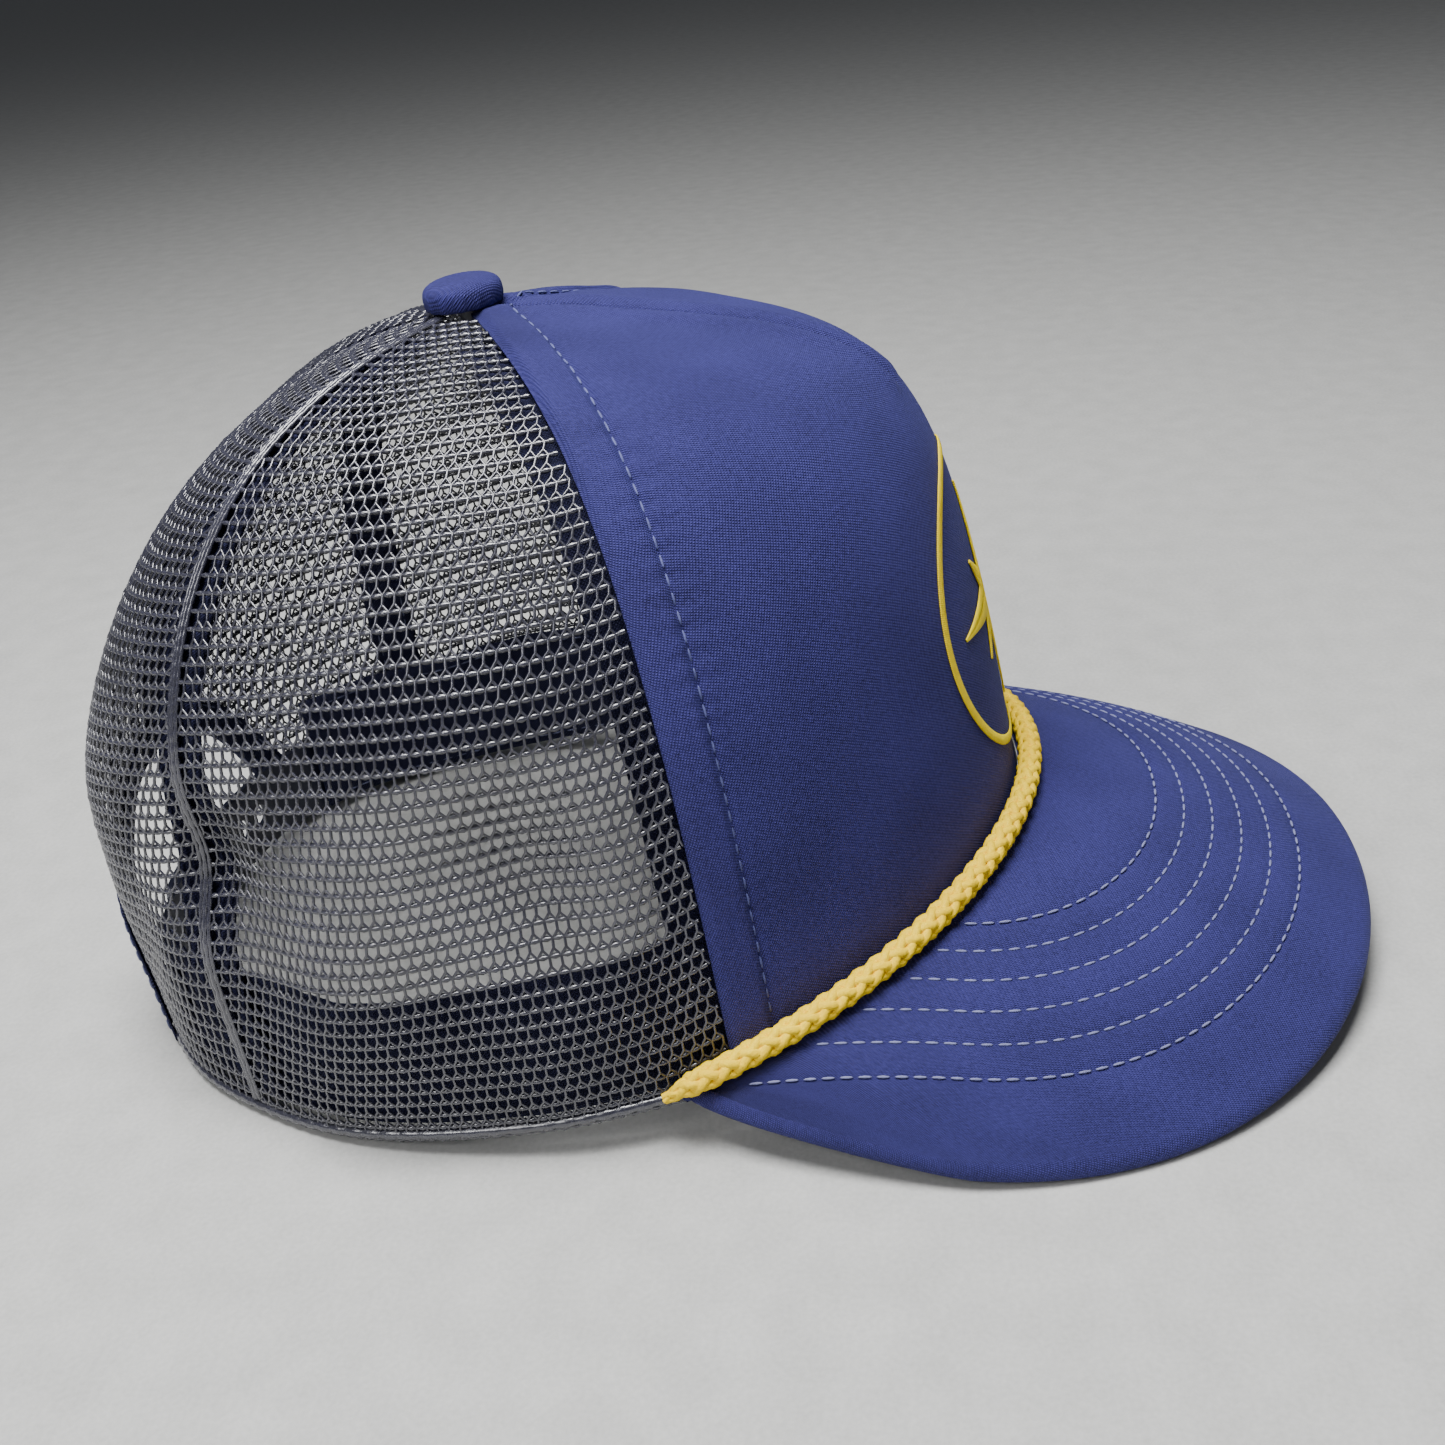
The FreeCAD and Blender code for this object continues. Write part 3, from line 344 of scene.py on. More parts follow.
    def mesh_relief(self, theta, share):
        """How far the limp mesh bulges or falls in: soft folds that differ from place to place."""
        turn = np.degrees(np.abs(theta))
        point = self.crown_point(theta, share)
        height = point[..., 2] / MM
        front = math.degrees(self.crown.front_seam)
        rear = math.degrees(self.crown.rear_seam)
        belly = 3.2 * bell(turn - 98, 17) * bell(height - 22, 24)
        shoulder = 2.6 * bell(turn - 84, 11) * bell(height - 74, 20)
        valley = -3.4 * bell(turn - 80 - 0.10 * height, 6.5) * bell(height - 47, 17)
        ridge = 2.0 * bell(turn - 103 + 0.12 * height, 8) * bell(height - 62, 26)
        dent = -4.2 * bell(turn - rear + 3, 7) * bell(height - 50, 13)
        rear_swell = 2.4 * bell(turn - 146, 16) * bell(height - 60, 28)
        drapes = 0.8 * np.sin(turn / 4.1 + 0.05 * height) * bell(height - 30, 26)
        from_seams = smooth_step((turn - front) / 9) ** 2
        at_top = smooth_step((1 - share) / 0.35)
        at_arch = 1 - 0.9 * bell(turn - 180, 28) * smooth_step((62 - height) / 20)
        relief = belly + shoulder + valley + ridge + dent + rear_swell + drapes
        side = np.where(theta < 0, 1.0, 0.8)
        return relief * FOLD_DEPTH * from_seams * at_top * at_arch * side

    def front_surface(self, theta, share, lift=0.0):
        point = self.crown_point(theta, share)
        relief = self.front_relief(theta, share) + lift
        return self.to_row(point + self.crown_normal(theta, share) * relief[..., None])

    def mesh_surface(self, theta, share, lift=0.0):
        point = self.crown_point(theta, share)
        relief = self.mesh_relief(theta, share) + lift
        return self.to_row(point + self.crown_normal(theta, share) * np.asarray(relief)[..., None])

    def lining_surface(self, theta, share, depth):
        """Inside of the crown at a depth, following the relief of the mesh behind the seams."""
        point = self.crown_point(theta, share)
        mesh = np.abs(theta) > self.crown.front_seam
        relief = np.where(mesh, self.mesh_relief(theta, share), 0.0) - depth
        return self.to_row(point + self.crown_normal(theta, share) * relief[..., None])

    # ---- outline of the brim

    def brim_corner(self):
        x = self.half_width * math.sin(self.corner)
        return x, -self.half_length * math.cos(self.corner)

    def brim_edge(self, place, inset=0.0):
        """Plan points of the brim's edge; place runs from -1 to 1, corner to corner."""
        brim = self.brim
        side = np.where(np.asarray(place) < 0, -1.0, 1.0)
        place = np.abs(np.asarray(place, float))
        corner_x, corner_y = self.brim_corner()
        half = brim.width / 2 - inset
        reach = self.half_length + brim.reach - inset + brim.widest
        turn = np.clip(place / FRONT_SHARE, 0, 1) * math.pi / 2
        front_x = half * np.sin(turn) ** (2 / brim.front_square)
        front_y = brim.widest - reach * np.clip(np.cos(turn), 0, 1) ** (2 / brim.front_square)
        turn = np.clip((place - FRONT_SHARE) / (1 - FRONT_SHARE), 0, 1) * math.pi / 2
        rear = np.clip(np.cos(turn), 0, 1) ** (2 / brim.rear_square)
        rear_x = corner_x + (half - corner_x) * rear
        rear_y = brim.widest + (corner_y - brim.widest) * np.sin(turn) ** (2 / brim.rear_square)
        x = np.where(place <= FRONT_SHARE, front_x, rear_x)
        y = np.where(place <= FRONT_SHARE, front_y, rear_y)
        return np.stack([side * x, y], -1)

    def inset_of(self, x, y):
        """How far inside the brim's edge a plan point lies, along the family of stitch rows."""
        brim = self.brim
        half = brim.width / 2
        reach = self.half_length + brim.reach + brim.widest
        low = np.zeros(np.shape(x))
        high = np.full(np.shape(x), 0.07)
        ahead = np.clip(brim.widest - y, 0, None)
        for _ in range(24):
            middle = (low + high) / 2
            size_x = np.abs(x) / (half - middle)
            size_y = ahead / np.clip(reach - middle, 1e-4, None)
            inside = size_x**brim.front_square + size_y**brim.front_square < 1
            low = np.where(inside, middle, low)
            high = np.where(inside, high, middle)
        return low

    def row_insets(self):
        return [self.brim.outer_inset + n * self.brim.row_pitch for n in range(self.brim.rows)]


# ------------------------------------------------------------------ making meshes


def new_piece(name, bm, materials, body="cap", smooth=True):
    """Turn a bmesh into a piece that rides on a body of the frame."""
    mesh = bpy.data.meshes.new(name)
    if smooth:
        for face in bm.faces:
            face.smooth = True
    bm.to_mesh(mesh)
    bm.free()
    return place_piece(name, mesh, materials, body)


def place_piece(name, mesh, materials, body="cap"):
    piece = bpy.data.objects.new(name, mesh)
    bpy.context.scene.collection.objects.link(piece)
    mesh.materials.clear()
    for material in materials:
        mesh.materials.append(material)
    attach(piece, body)
    return piece


def mapped_grid(columns, rows, mapping):
    """A grid whose points are put in place by mapping(u, v), with a cloth UV in metres."""
    bm = bmesh.new()
    bmesh.ops.create_grid(bm, x_segments=columns, y_segments=rows, size=0.5)
    flat = np.array([vertex.co[:2] for vertex in bm.verts])
    column = np.rint((flat[:, 0] + 0.5) * columns).astype(int)
    row = np.rint((flat[:, 1] + 0.5) * rows).astype(int)
    u, v = np.meshgrid(np.linspace(0, 1, columns + 1), np.linspace(0, 1, rows + 1))
    points = mapping(u, v)
    across = np.linalg.norm(np.diff(points, axis=1), axis=-1).cumsum(1)
    across = np.concatenate([np.zeros((rows + 1, 1)), across], 1)
    across -= across[:, columns // 2][:, None]
    along = np.linalg.norm(np.diff(points, axis=0), axis=-1).cumsum(0)
    along = np.concatenate([np.zeros((1, columns + 1)), along], 0)
    for vertex, i, j in zip(bm.verts, column, row):
        vertex.co = points[j, i]
    bm.verts.index_update()
    layer = bm.loops.layers.uv.new("cloth")
    for face in bm.faces:
        for loop in face.loops:
            i, j = column[loop.vert.index], row[loop.vert.index]
            loop[layer].uv = (across[j, i], along[j, i])
    return bm


def thicken(piece, thickness, offset=-1.0):
    """Give a cloth sheet its thickness; offset -1 grows it inward, 1 outward."""
    solid = piece.modifiers.new("thickness", "SOLIDIFY")
    solid.thickness = thickness
    solid.offset = offset
    solid.use_even_offset = False
    return solid


def strand_mesh(name, strands, resolution=1):
    """Round tubes along point lists; each strand is (points, radii) in metres."""
    curve = bpy.data.curves.new(name, "CURVE")
    curve.dimensions = "3D"
    curve.bevel_depth = 1.0
    curve.bevel_resolution = resolution
    curve.use_fill_caps = True
    for points, radii in strands:
        spline = curve.splines.new("POLY")
        spline.points.add(len(points) - 1)
        flat = np.ones((len(points), 4))
        flat[:, :3] = points
        spline.points.foreach_set("co", flat.ravel())
        spline.points.foreach_set("radius", np.broadcast_to(radii, len(points)).astype(float))
    holder = bpy.data.objects.new(name, curve)
    mesh = bpy.data.meshes.new_from_object(holder)
    bpy.data.objects.remove(holder)
    bpy.data.curves.remove(curve)
    mesh.shade_smooth()
    return mesh


def along_path(points, spacing):
    """Evenly spaced places on a path: arrays of points and unit directions."""
    steps = np.linalg.norm(np.diff(points, axis=0), axis=1)
    travelled = np.concatenate([[0], steps.cumsum()])
    count = max(int(travelled[-1] / spacing), 2)
    places = (np.arange(count) + 0.5) * travelled[-1] / count
    spots = np.stack([np.interp(places, travelled, points[:, k]) for k in range(3)], 1)
    nearby = places + spacing * 0.2
    ahead = np.stack([np.interp(nearby, travelled, points[:, k]) for k in range(3)], 1)
    behind = places - spacing * 0.2
    back = np.stack([np.interp(behind, travelled, points[:, k]) for k in range(3)], 1)
    direction = ahead - back
    return spots, direction / np.linalg.norm(direction, axis=1)[:, None]


def add_stitches(bm, path, stitch, gap, radius, seed=1):
    """A run of short thread spindles along a path, with a little hand in their lengths."""
    draw = random.Random(seed)
    spots, directions = along_path(np.asarray(path), stitch + gap)
    for spot, direction in zip(spots, directions):
        turn = Vector(direction).to_track_quat("Z", "Y").to_matrix().to_4x4()
        half = stitch / 2 * draw.uniform(0.92, 1.05)
        size = Matrix.Diagonal((radius, radius, half, 1))
        place = Matrix.Translation(Vector(spot)) @ turn @ size
        bmesh.ops.create_uvsphere(bm, u_segments=6, v_segments=4, radius=1, matrix=place)


# ------------------------------------------------------------------ materials


def new_group(name, inputs, outputs):
    """A shader node group with named sockets; inputs are (name, default)."""
    group = bpy.data.node_groups.new(name, "ShaderNodeTree")
    for label, default in inputs:
        kind = "NodeSocketVector" if label == "Vector" else "NodeSocketFloat"
        socket = group.interface.new_socket(label, in_out="INPUT", socket_type=kind)
        if label != "Vector":
            socket.default_value = default
    for label in outputs:
        group.interface.new_socket(label, in_out="OUTPUT", socket_type="NodeSocketFloat")
    entry = group.nodes.new("NodeGroupInput")
    leave = group.nodes.new("NodeGroupOutput")
    return group, entry, leave


def math_node(tree, operation, first, second=None, clamp=False):
    """A maths node; its inputs are sockets or numbers."""
    node = tree.nodes.new("ShaderNodeMath")
    node.operation = operation
    node.use_clamp = clamp
    for socket, value in zip(node.inputs, (first, second)):
        if value is None:
            continue
        if isinstance(value, (int, float)):
            socket.default_value = value
        else:
            tree.links.new(value, socket)
    return node.outputs[0]


def wave_node(tree, vector, scale, direction="X", distortion=0.0):
    """A sine band pattern with that many bands a metre, from a vector in metres."""
    wave = tree.nodes.new("ShaderNodeTexWave")
    wave.wave_type = "BANDS"
    wave.bands_direction = direction
    wave.wave_profile = "SIN"
    wave.inputs["Distortion"].default_value = distortion
    if isinstance(scale, (int, float)):
        wave.inputs["Scale"].default_value = scale
    else:
        tree.links.new(scale, wave.inputs["Scale"])
    tree.links.new(vector, wave.inputs["Vector"])
    return wave.outputs["Fac"]


def turned_vector(tree, vector, degrees):
    node = tree.nodes.new("ShaderNodeMapping")
    node.inputs["Rotation"].default_value = (0, 0, math.radians(degrees))
    tree.links.new(vector, node.inputs["Vector"])
    return node.outputs["Vector"]


def noise_node(tree, vector, scale, detail=3.0):
    noise = tree.nodes.new("ShaderNodeTexNoise")
    noise.inputs["Detail"].default_value = detail
    if isinstance(scale, (int, float)):
        noise.inputs["Scale"].default_value = scale
    else:
        tree.links.new(scale, noise.inputs["Scale"])
    tree.links.new(vector, noise.inputs["Vector"])
    return noise.outputs["Fac"]


def weave_group():
    """Two crossing diagonal yarn systems, as in a fine twill or jersey."""
    inputs = [("Vector", None), ("Yarns", 260.0), ("Fuzz", 900.0)]
    group, entry, leave = new_group("yarn_weave", inputs, ["Height", "Tone"])
    vector = entry.outputs["Vector"]
    yarns = entry.outputs["Yarns"]
    first = wave_node(group, turned_vector(group, vector, 38), yarns, distortion=0.0)
    second = wave_node(group, turned_vector(group, vector, -52), yarns, distortion=0.0)
    crossed = math_node(group, "MULTIPLY", first, second)
    fuzz = noise_node(group, vector, entry.outputs["Fuzz"], 4.0)
    fuzz_share = math_node(group, "MULTIPLY", fuzz, 0.55)
    height = math_node(group, "ADD", crossed, fuzz_share)
    patches = noise_node(group, vector, 45.0, 2.0)
    tone = math_node(group, "ADD", math_node(group, "MULTIPLY", crossed, 0.5), fuzz_share)
    tone = math_node(group, "ADD", tone, math_node(group, "MULTIPLY", patches, 0.35))
    group.links.new(height, leave.inputs["Height"])
    group.links.new(tone, leave.inputs["Tone"])
    return group


def fibre_group():
    """Fine twisted fibres of a yarn, with soft uneven patches."""
    inputs = [("Vector", None), ("Fibres", 1400.0), ("Patches", 120.0)]
    group, entry, leave = new_group("yarn_fibres", inputs, ["Height", "Tone"])
    vector = entry.outputs["Vector"]
    fibres = noise_node(group, vector, entry.outputs["Fibres"], 3.0)
    patches = noise_node(group, vector, entry.outputs["Patches"], 2.0)
    tone = math_node(group, "ADD", math_node(group, "MULTIPLY", fibres, 0.6),
                     math_node(group, "MULTIPLY", patches, 0.5))
    group.links.new(fibres, leave.inputs["Height"])
    group.links.new(tone, leave.inputs["Tone"])
    return group


def shared_group(name, build):
    return bpy.data.node_groups.get(name) or build()


def patterned_material(name, base, group, values, coordinate, looks):
    """A principled material whose colour, roughness and relief come from a pattern group.

    looks holds the contrast of the colour, the roughness range, the relief's height and the
    shader's own settings.
    """
    own_name = f"{name}_finish"
    found = bpy.data.materials.get(own_name)
    if found:
        return found
    material = bpy.data.materials.new(own_name)
    material.use_nodes = True
    tree = material.node_tree
    shader = tree.nodes["Principled BSDF"]
    coordinates = tree.nodes.new("ShaderNodeTexCoord")
    if coordinate == "cloth":
        uv = tree.nodes.new("ShaderNodeUVMap")
        uv.uv_map = "cloth"
        vector = uv.outputs["UV"]
        tree.nodes.remove(coordinates)
    else:
        vector = coordinates.outputs["Object"]
    pattern = tree.nodes.new("ShaderNodeGroup")
    pattern.node_tree = group
    tree.links.new(vector, pattern.inputs["Vector"])
    for label, value in values.items():
        pattern.inputs[label].default_value = value
    ramp = tree.nodes.new("ShaderNodeValToRGB")
    dark, light = looks["contrast"]
    ramp.color_ramp.elements[0].position = looks.get("low", 0.15)
    ramp.color_ramp.elements[1].position = looks.get("high", 0.95)
    ramp.color_ramp.elements[0].color = (*[min(c * dark, 1) for c in base], 1)
    ramp.color_ramp.elements[1].color = (*[min(c * light, 1) for c in base], 1)
    tree.links.new(pattern.outputs["Tone"], ramp.inputs["Fac"])
    tree.links.new(ramp.outputs["Color"], shader.inputs["Base Color"])
    smooth, rough = looks["roughness"]
    spread = tree.nodes.new("ShaderNodeMapRange")
    spread.inputs["To Min"].default_value = rough
    spread.inputs["To Max"].default_value = smooth
    tree.links.new(pattern.outputs["Tone"], spread.inputs["Value"])
    tree.links.new(spread.outputs["Result"], shader.inputs["Roughness"])
    bump = tree.nodes.new("ShaderNodeBump")
    bump.inputs["Distance"].default_value = looks["relief"]
    bump.inputs["Strength"].default_value = looks.get("strength", 0.8)
    tree.links.new(pattern.outputs["Height"], bump.inputs["Height"])
    tree.links.new(bump.outputs["Normal"], shader.inputs["Normal"])
    for label, value in looks.get("settings", {}).items():
        shader.inputs[label].default_value = value
    return material


def cloth_material(scene, name="navy_cloth", base=None, yarns=600.0, coordinate="cloth"):
    """Soft polyester jersey: matt, with a blue sheen where it turns away."""
    base = base or scene.cap_finish.cloth
    settings = {
        "Sheen Weight": 0.10,
        "Sheen Roughness": 0.35,
        "Sheen Tint": (0.30, 0.36, 0.95, 1.0),
        "Specular IOR Level": 0.22,
    }
    looks = {
        "contrast": (0.25, 2.8),
        "roughness": (0.62, 0.92),
        "relief": 0.00022,
        "strength": 1.0,
        "settings": settings,
    }
    group = shared_group("yarn_weave", weave_group)
    values = {"Yarns": yarns, "Fuzz": 1100.0}
    return patterned_material(name, base, group, values, coordinate, looks)


def mesh_material(scene):
    """Hard shiny yarn of the mesh."""
    settings = {"Specular IOR Level": 0.9, "Coat Weight": 0.7, "Coat Roughness": 0.18}
    looks = {
        "contrast": (0.35, 2.6),
        "roughness": (0.18, 0.4),
        "relief": 0.00015,
        "strength": 0.55,
        "settings": settings,
    }
    group = shared_group("yarn_fibres", fibre_group)
    values = {"Fibres": 1500.0, "Patches": 60.0}
    return patterned_material("mesh_yarn", scene.cap_finish.mesh, group, values, "object", looks)


def yarn_material(scene, name, base, relief=0.00025, sheen=0.08):
    """Twisted cotton or polyester yarn, for threads, rope and embroidery."""
    settings = {"Sheen Weight": sheen, "Sheen Roughness": 0.4, "Specular IOR Level": 0.3}
    looks = {
        "contrast": (0.72, 1.2),
        "roughness": (0.5, 0.8),
        "relief": relief,
        "strength": 0.6,
        "settings": settings,
    }
    group = shared_group("yarn_fibres", fibre_group)
    values = {"Fibres": 1300.0, "Patches": 160.0}
    return patterned_material(name, base, group, values, "object", looks)


def plain_material(scene, name, base, roughness, relief, settings=None):
    """Moulded plastic, foam or painted metal, with a fine grain."""
    looks = {
        "contrast": (0.8, 1.25),
        "roughness": roughness,
        "relief": relief,
        "strength": 0.5,
        "settings": settings or {},
    }
    group = shared_group("yarn_fibres", fibre_group)
    values = {"Fibres": 900.0, "Patches": 90.0}
    return patterned_material(name, base, group, values, "object", looks)


def tape_material(scene):
    return cloth_material(scene, "navy_tape", scene.cap_finish.tape, 600.0)


# ------------------------------------------------------------------ crown front


def seam_stretch(u, limit):
    """Angles of a front layer, closer together beside its seams."""
    place = 2 * u - 1
    return limit * (1.25 * place - 0.25 * place**3)


def build_front(scene):
    """Padded cloth front and the foam behind it."""
    shape = CapShape(scene)
    seam = shape.crown.front_seam

    def cloth(u, v):
        theta = seam_stretch(u, seam)
        top = shape.top_share(theta, shape.crown.top_radius)
        return shape.front_surface(theta, v * top)

    panel = new_piece(
        "front_panel_cloth", mapped_grid(236, 150, cloth), [cloth_material(scene)],
    )
    thicken(panel, 0.7 * MM)
    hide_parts("front_panel")

    def foam(u, v):
        theta = (2 * u - 1) * (seam - 0.03)
        top = shape.top_share(theta, shape.crown.top_radius + 4 * MM)
        share = 0.01 + v * (top - 0.01)
        ripple = 0.25 * MM * np.sin(theta * 60) * np.sin(share * 90)
        depth = 2.6 * MM + ripple
        return shape.lining_surface(theta, share, depth)

    base = scene.cap_finish.foam
    material = plain_material(scene, "foam", base, (0.8, 0.95), 0.0006)
    lining = new_piece("foam_lining", mapped_grid(90, 60, foam), [material])
    thicken(lining, 1.4 * MM, 1.0)
    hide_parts("front_foam_lining")

    thread = yarn_material(scene, "seam_thread", (0.09, 0.10, 0.26))
    for side, name in ((1, "left"), (-1, "right")):
        bm = bmesh.new()
        share = np.linspace(0.012, 0.985, 220)
        radius = np.full(share.shape, 60 * MM)
        for _ in range(3):
            theta = side * (seam - shape.trim.fold / radius)
            point = shape.crown_point(theta, share)
            radius = np.clip(np.hypot(point[:, 0], point[:, 1]), 9 * MM, None)
        path = shape.front_surface(theta, share, 0.12 * MM)
        add_stitches(bm, path, shape.trim.stitch, shape.trim.stitch_gap, 0.26 * MM, 3)
        new_piece(f"front_seam_stitches_{name}", bm, [thread])


# ------------------------------------------------------------------ knitted mesh


def knit_rows(shape, first, last, inner_edge):
    """Rows of knots of one mesh panel: per row the share, the angles and the distances."""
    middle = (first + last) / 2
    share = np.linspace(0.0, 0.995, 400)
    spine = shape.mesh_surface(np.full(share.shape, middle), share)
    climbed = np.concatenate([[0], np.linalg.norm(np.diff(spine, axis=0), axis=1).cumsum()])
    top_share = shape.top_share(middle, inner_edge)
    top = np.interp(top_share, share, climbed)
    count = int(top / shape.trim.mesh_row)
    rows = []
    for number in range(count + 1):
        place = np.interp(number * top / count, climbed, share)
        angles = np.linspace(first, last, 121)
        line = shape.mesh_surface(angles, np.full(angles.shape, place), -0.6 * MM)
        run = np.concatenate([[0], np.linalg.norm(np.diff(line, axis=0), axis=1).cumsum()])
        rows.append((place, angles, run - run[-1] / 2))
    return rows


def in_arch(shape, points, margin):
    """True for points of the crown that lie in the back opening, in the cap's own frame."""
    base = shape.crown.back_hem
    x = points[..., 0] / (shape.crown.arch_half_width + margin)
    z = (points[..., 2] - base) / (shape.crown.arch_height + margin)
    return (points[..., 1] > 0) & (x**2 + np.clip(z, 0, None) ** 2 < 1)


def broken_at(mask, points, radii):
    """Split a strand where the mask is False, and keep the stretches of two points or more."""
    strands = []
    start = None
    for number, keep in enumerate(list(mask) + [False]):
        if keep and start is None:
            start = number
        if not keep and start is not None:
            if number - start > 1:
                strands.append((points[start:number], radii[start:number]))
            start = None
    return strands


def knit_panel(scene, name, first, last):
    """Thick strands along the rows, and thin yarns that join each row to the next in V shapes."""
    shape = CapShape(scene)
    trim = shape.trim
    rows = knit_rows(shape, first, last, 9 * MM)
    pitch = trim.mesh_column
    draw = np.random.default_rng(int(abs(first) * 100))
    strands = []

    def knot_points(row, distances, lift):
        place, angles, run = row
        theta = np.interp(distances, run, angles)
        share = np.full(theta.shape, place)
        return theta, shape.mesh_surface(theta, share, lift)

    for number, row in enumerate(rows):
        half = row[2][-1]
        shift = pitch / 2 * (number % 2)
        quarter = pitch / 4
        count = int(half / quarter)
        steps = np.arange(-count, count + 1) * quarter
        theta, points = knot_points(row, steps, -0.6 * MM)
        phase = np.cos(2 * math.pi * (steps - shift) / pitch)
        radii = trim.mesh_band * (0.80 - 0.22 * phase) * draw.uniform(0.93, 1.07, len(steps))
        plain = shape.crown_point(theta, np.full(theta.shape, row[0]))
        strands += broken_at(~in_arch(shape, plain, 0.5 * MM), points, radii)
        if number + 1 == len(rows):
            break
        above = rows[number + 1]
        knots = np.arange(int(-half / pitch) - 1, int(half / pitch) + 2) * pitch + shift
        reach = min(half, above[2][-1])
        knots = knots[(knots > -reach) & (knots + pitch / 2 < reach)]
        if not len(knots):
            continue
        theta, feet = knot_points(row, knots, -0.45 * MM)
        _, right_feet = knot_points(row, np.minimum(knots + pitch, half), -0.45 * MM)
        _, heads = knot_points(above, knots + pitch / 2, -0.45 * MM)
        _, under = knot_points(row, knots + pitch / 2, -0.3 * MM)
        merge = under * 0.55 + heads * 0.45
        wander = draw.normal(0, 0.07 * MM, merge.shape)
        plain = shape.crown_point(theta, np.full(theta.shape, row[0]))
        open_here = in_arch(shape, plain, 1.5 * MM)
        for place in np.nonzero(~open_here)[0]:
            meet = merge[place] + wander[place]
            long_yarn = np.array([feet[place], meet, heads[place]])
            strands.append((long_yarn, trim.mesh_yarn * np.array([1.0, 1.25, 1.1])))
            strands.append((np.array([right_feet[place], meet]), trim.mesh_yarn))
    mesh = strand_mesh(name, strands)
    return place_piece(name, mesh, [mesh_material(scene)])


def build_mesh(scene):
    shape = CapShape(scene)
    gap = 0.003
    front = shape.crown.front_seam + gap
    rear = shape.crown.rear_seam
    back = math.pi - gap
    for side, name in ((1, "left"), (-1, "right")):
        first, last = sorted((side * front, side * (rear - gap)))
        panel = knit_panel(scene, f"side_mesh_knit_{name}", first, last)
        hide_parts(f"side_mesh_{name}")
        first, last = sorted((side * (rear + gap), side * back))
        panel = knit_panel(scene, f"back_mesh_knit_{name}", first, last)
        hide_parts(f"back_mesh_{name}")
    build_mesh_edges(scene)


def build_mesh_edges(scene):
    """Rolled hem of the mesh and the ridges where its panels are sewn together."""
    shape = CapShape(scene)
    material = mesh_material(scene)
    arch = shape.crown.arch_half_width + 3 * MM
    for side, name in ((1, "left"), (-1, "right")):
        theta = side * np.linspace(shape.crown.front_seam + 0.06, math.radians(170), 150)
        plain = shape.hem(theta)
        keep = (plain[:, 1] < 0) | (np.abs(plain[:, 0]) > arch)
        theta = theta[keep]
        share = shape.share_at_height(theta, 1.3 * MM)
        path = shape.mesh_surface(theta, share, -0.7 * MM)
        wobble = 1 + 0.12 * np.sin(np.arange(len(theta)) * 1.9)
        mesh = strand_mesh(f"mesh_hem_{name}", [(path, 1.15 * MM * wobble)], 3)
        place_piece(f"mesh_hem_{name}", mesh, [material])
        ridge = []
        share = np.linspace(0.01, 0.975, 160)
        for offset, radius in ((-0.9, 0.45), (0.9, 0.45), (0.0, 0.6)):
            point = shape.crown_point(np.full(share.shape, shape.crown.rear_seam), share)
            radius_here = np.hypot(point[:, 0], point[:, 1])
            theta = side * (shape.crown.rear_seam + offset * MM / np.clip(radius_here, 8 * MM, 1))
            path = shape.mesh_surface(theta, share, -0.35 * MM)
            beat = 1 + 0.25 * np.sin(np.arange(len(share)) * 2.4 + offset)
            ridge.append((path, radius * MM * beat))
        mesh = strand_mesh(f"rear_seam_ridge_{name}", ridge, 2)
        place_piece(f"rear_seam_ridge_{name}", mesh, [material])


# ------------------------------------------------------------------ linings


def lining_strip(shape, theta, width, first, last, depth, columns=8, rows=90):
    """A tape inside the crown along a seam, between two shares."""

    def strip(u, v):
        share = first + (last - first) * v
        point = shape.crown_point(theta, share)
        radius = np.clip(np.hypot(point[..., 0], point[..., 1]), 7 * MM, None)
        turn = theta + (0.5 - u) * width / radius
        crown = (0.35 * MM) * np.sin(u * math.pi)
        return shape.lining_surface(turn, share, depth + crown)

    return mapped_grid(columns, rows, strip)


def build_linings(scene):
    """Seam tapes, sweatband and their stitches."""
    shape = CapShape(scene)
    tape = tape_material(scene)
    thread = yarn_material(scene, "lining_thread", (0.10, 0.11, 0.2))
    front, rear = shape.crown.front_seam, shape.crown.rear_seam
    runs = [("dart_tape", 0.0, 0.50, 3.3)]
    above_arch = float(shape.share_at_height(math.pi, 58 * MM))
    runs.append(("back_seam_tape", math.pi, above_arch, 1.5))
    for side, name in ((1, "left"), (-1, "right")):
        runs.append((f"front_seam_tape_{name}", side * front, 0.015, 3.3))
        runs.append((f"rear_seam_tape_{name}", side * rear, 0.015, 1.5))
    for name, theta, first, depth in runs:
        last = float(shape.top_share(theta, 15 * MM))
        width = shape.trim.tape
        bm = lining_strip(shape, theta, width, first, last, depth * MM)
        piece = new_piece(f"{name}_cloth", bm, [tape])
        thicken(piece, 0.5 * MM, 1.0)
        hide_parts(name)
        stitches = bmesh.new()
        for side in (-1, 1):
            share = np.linspace(first + 0.01, last - 0.01, 120)
            point = shape.crown_point(theta, share)
            radius = np.clip(np.hypot(point[:, 0], point[:, 1]), 9 * MM, None)
            turn = theta + side * width * 0.34 / radius
            path = shape.lining_surface(turn, share, depth * MM + 0.65 * MM)
            add_stitches(stitches, path, 3.0 * MM, 0.8 * MM, 0.22 * MM, 5)
        new_piece(f"{name}_stitches", stitches, [thread])
    build_sweatband(scene, shape, thread)


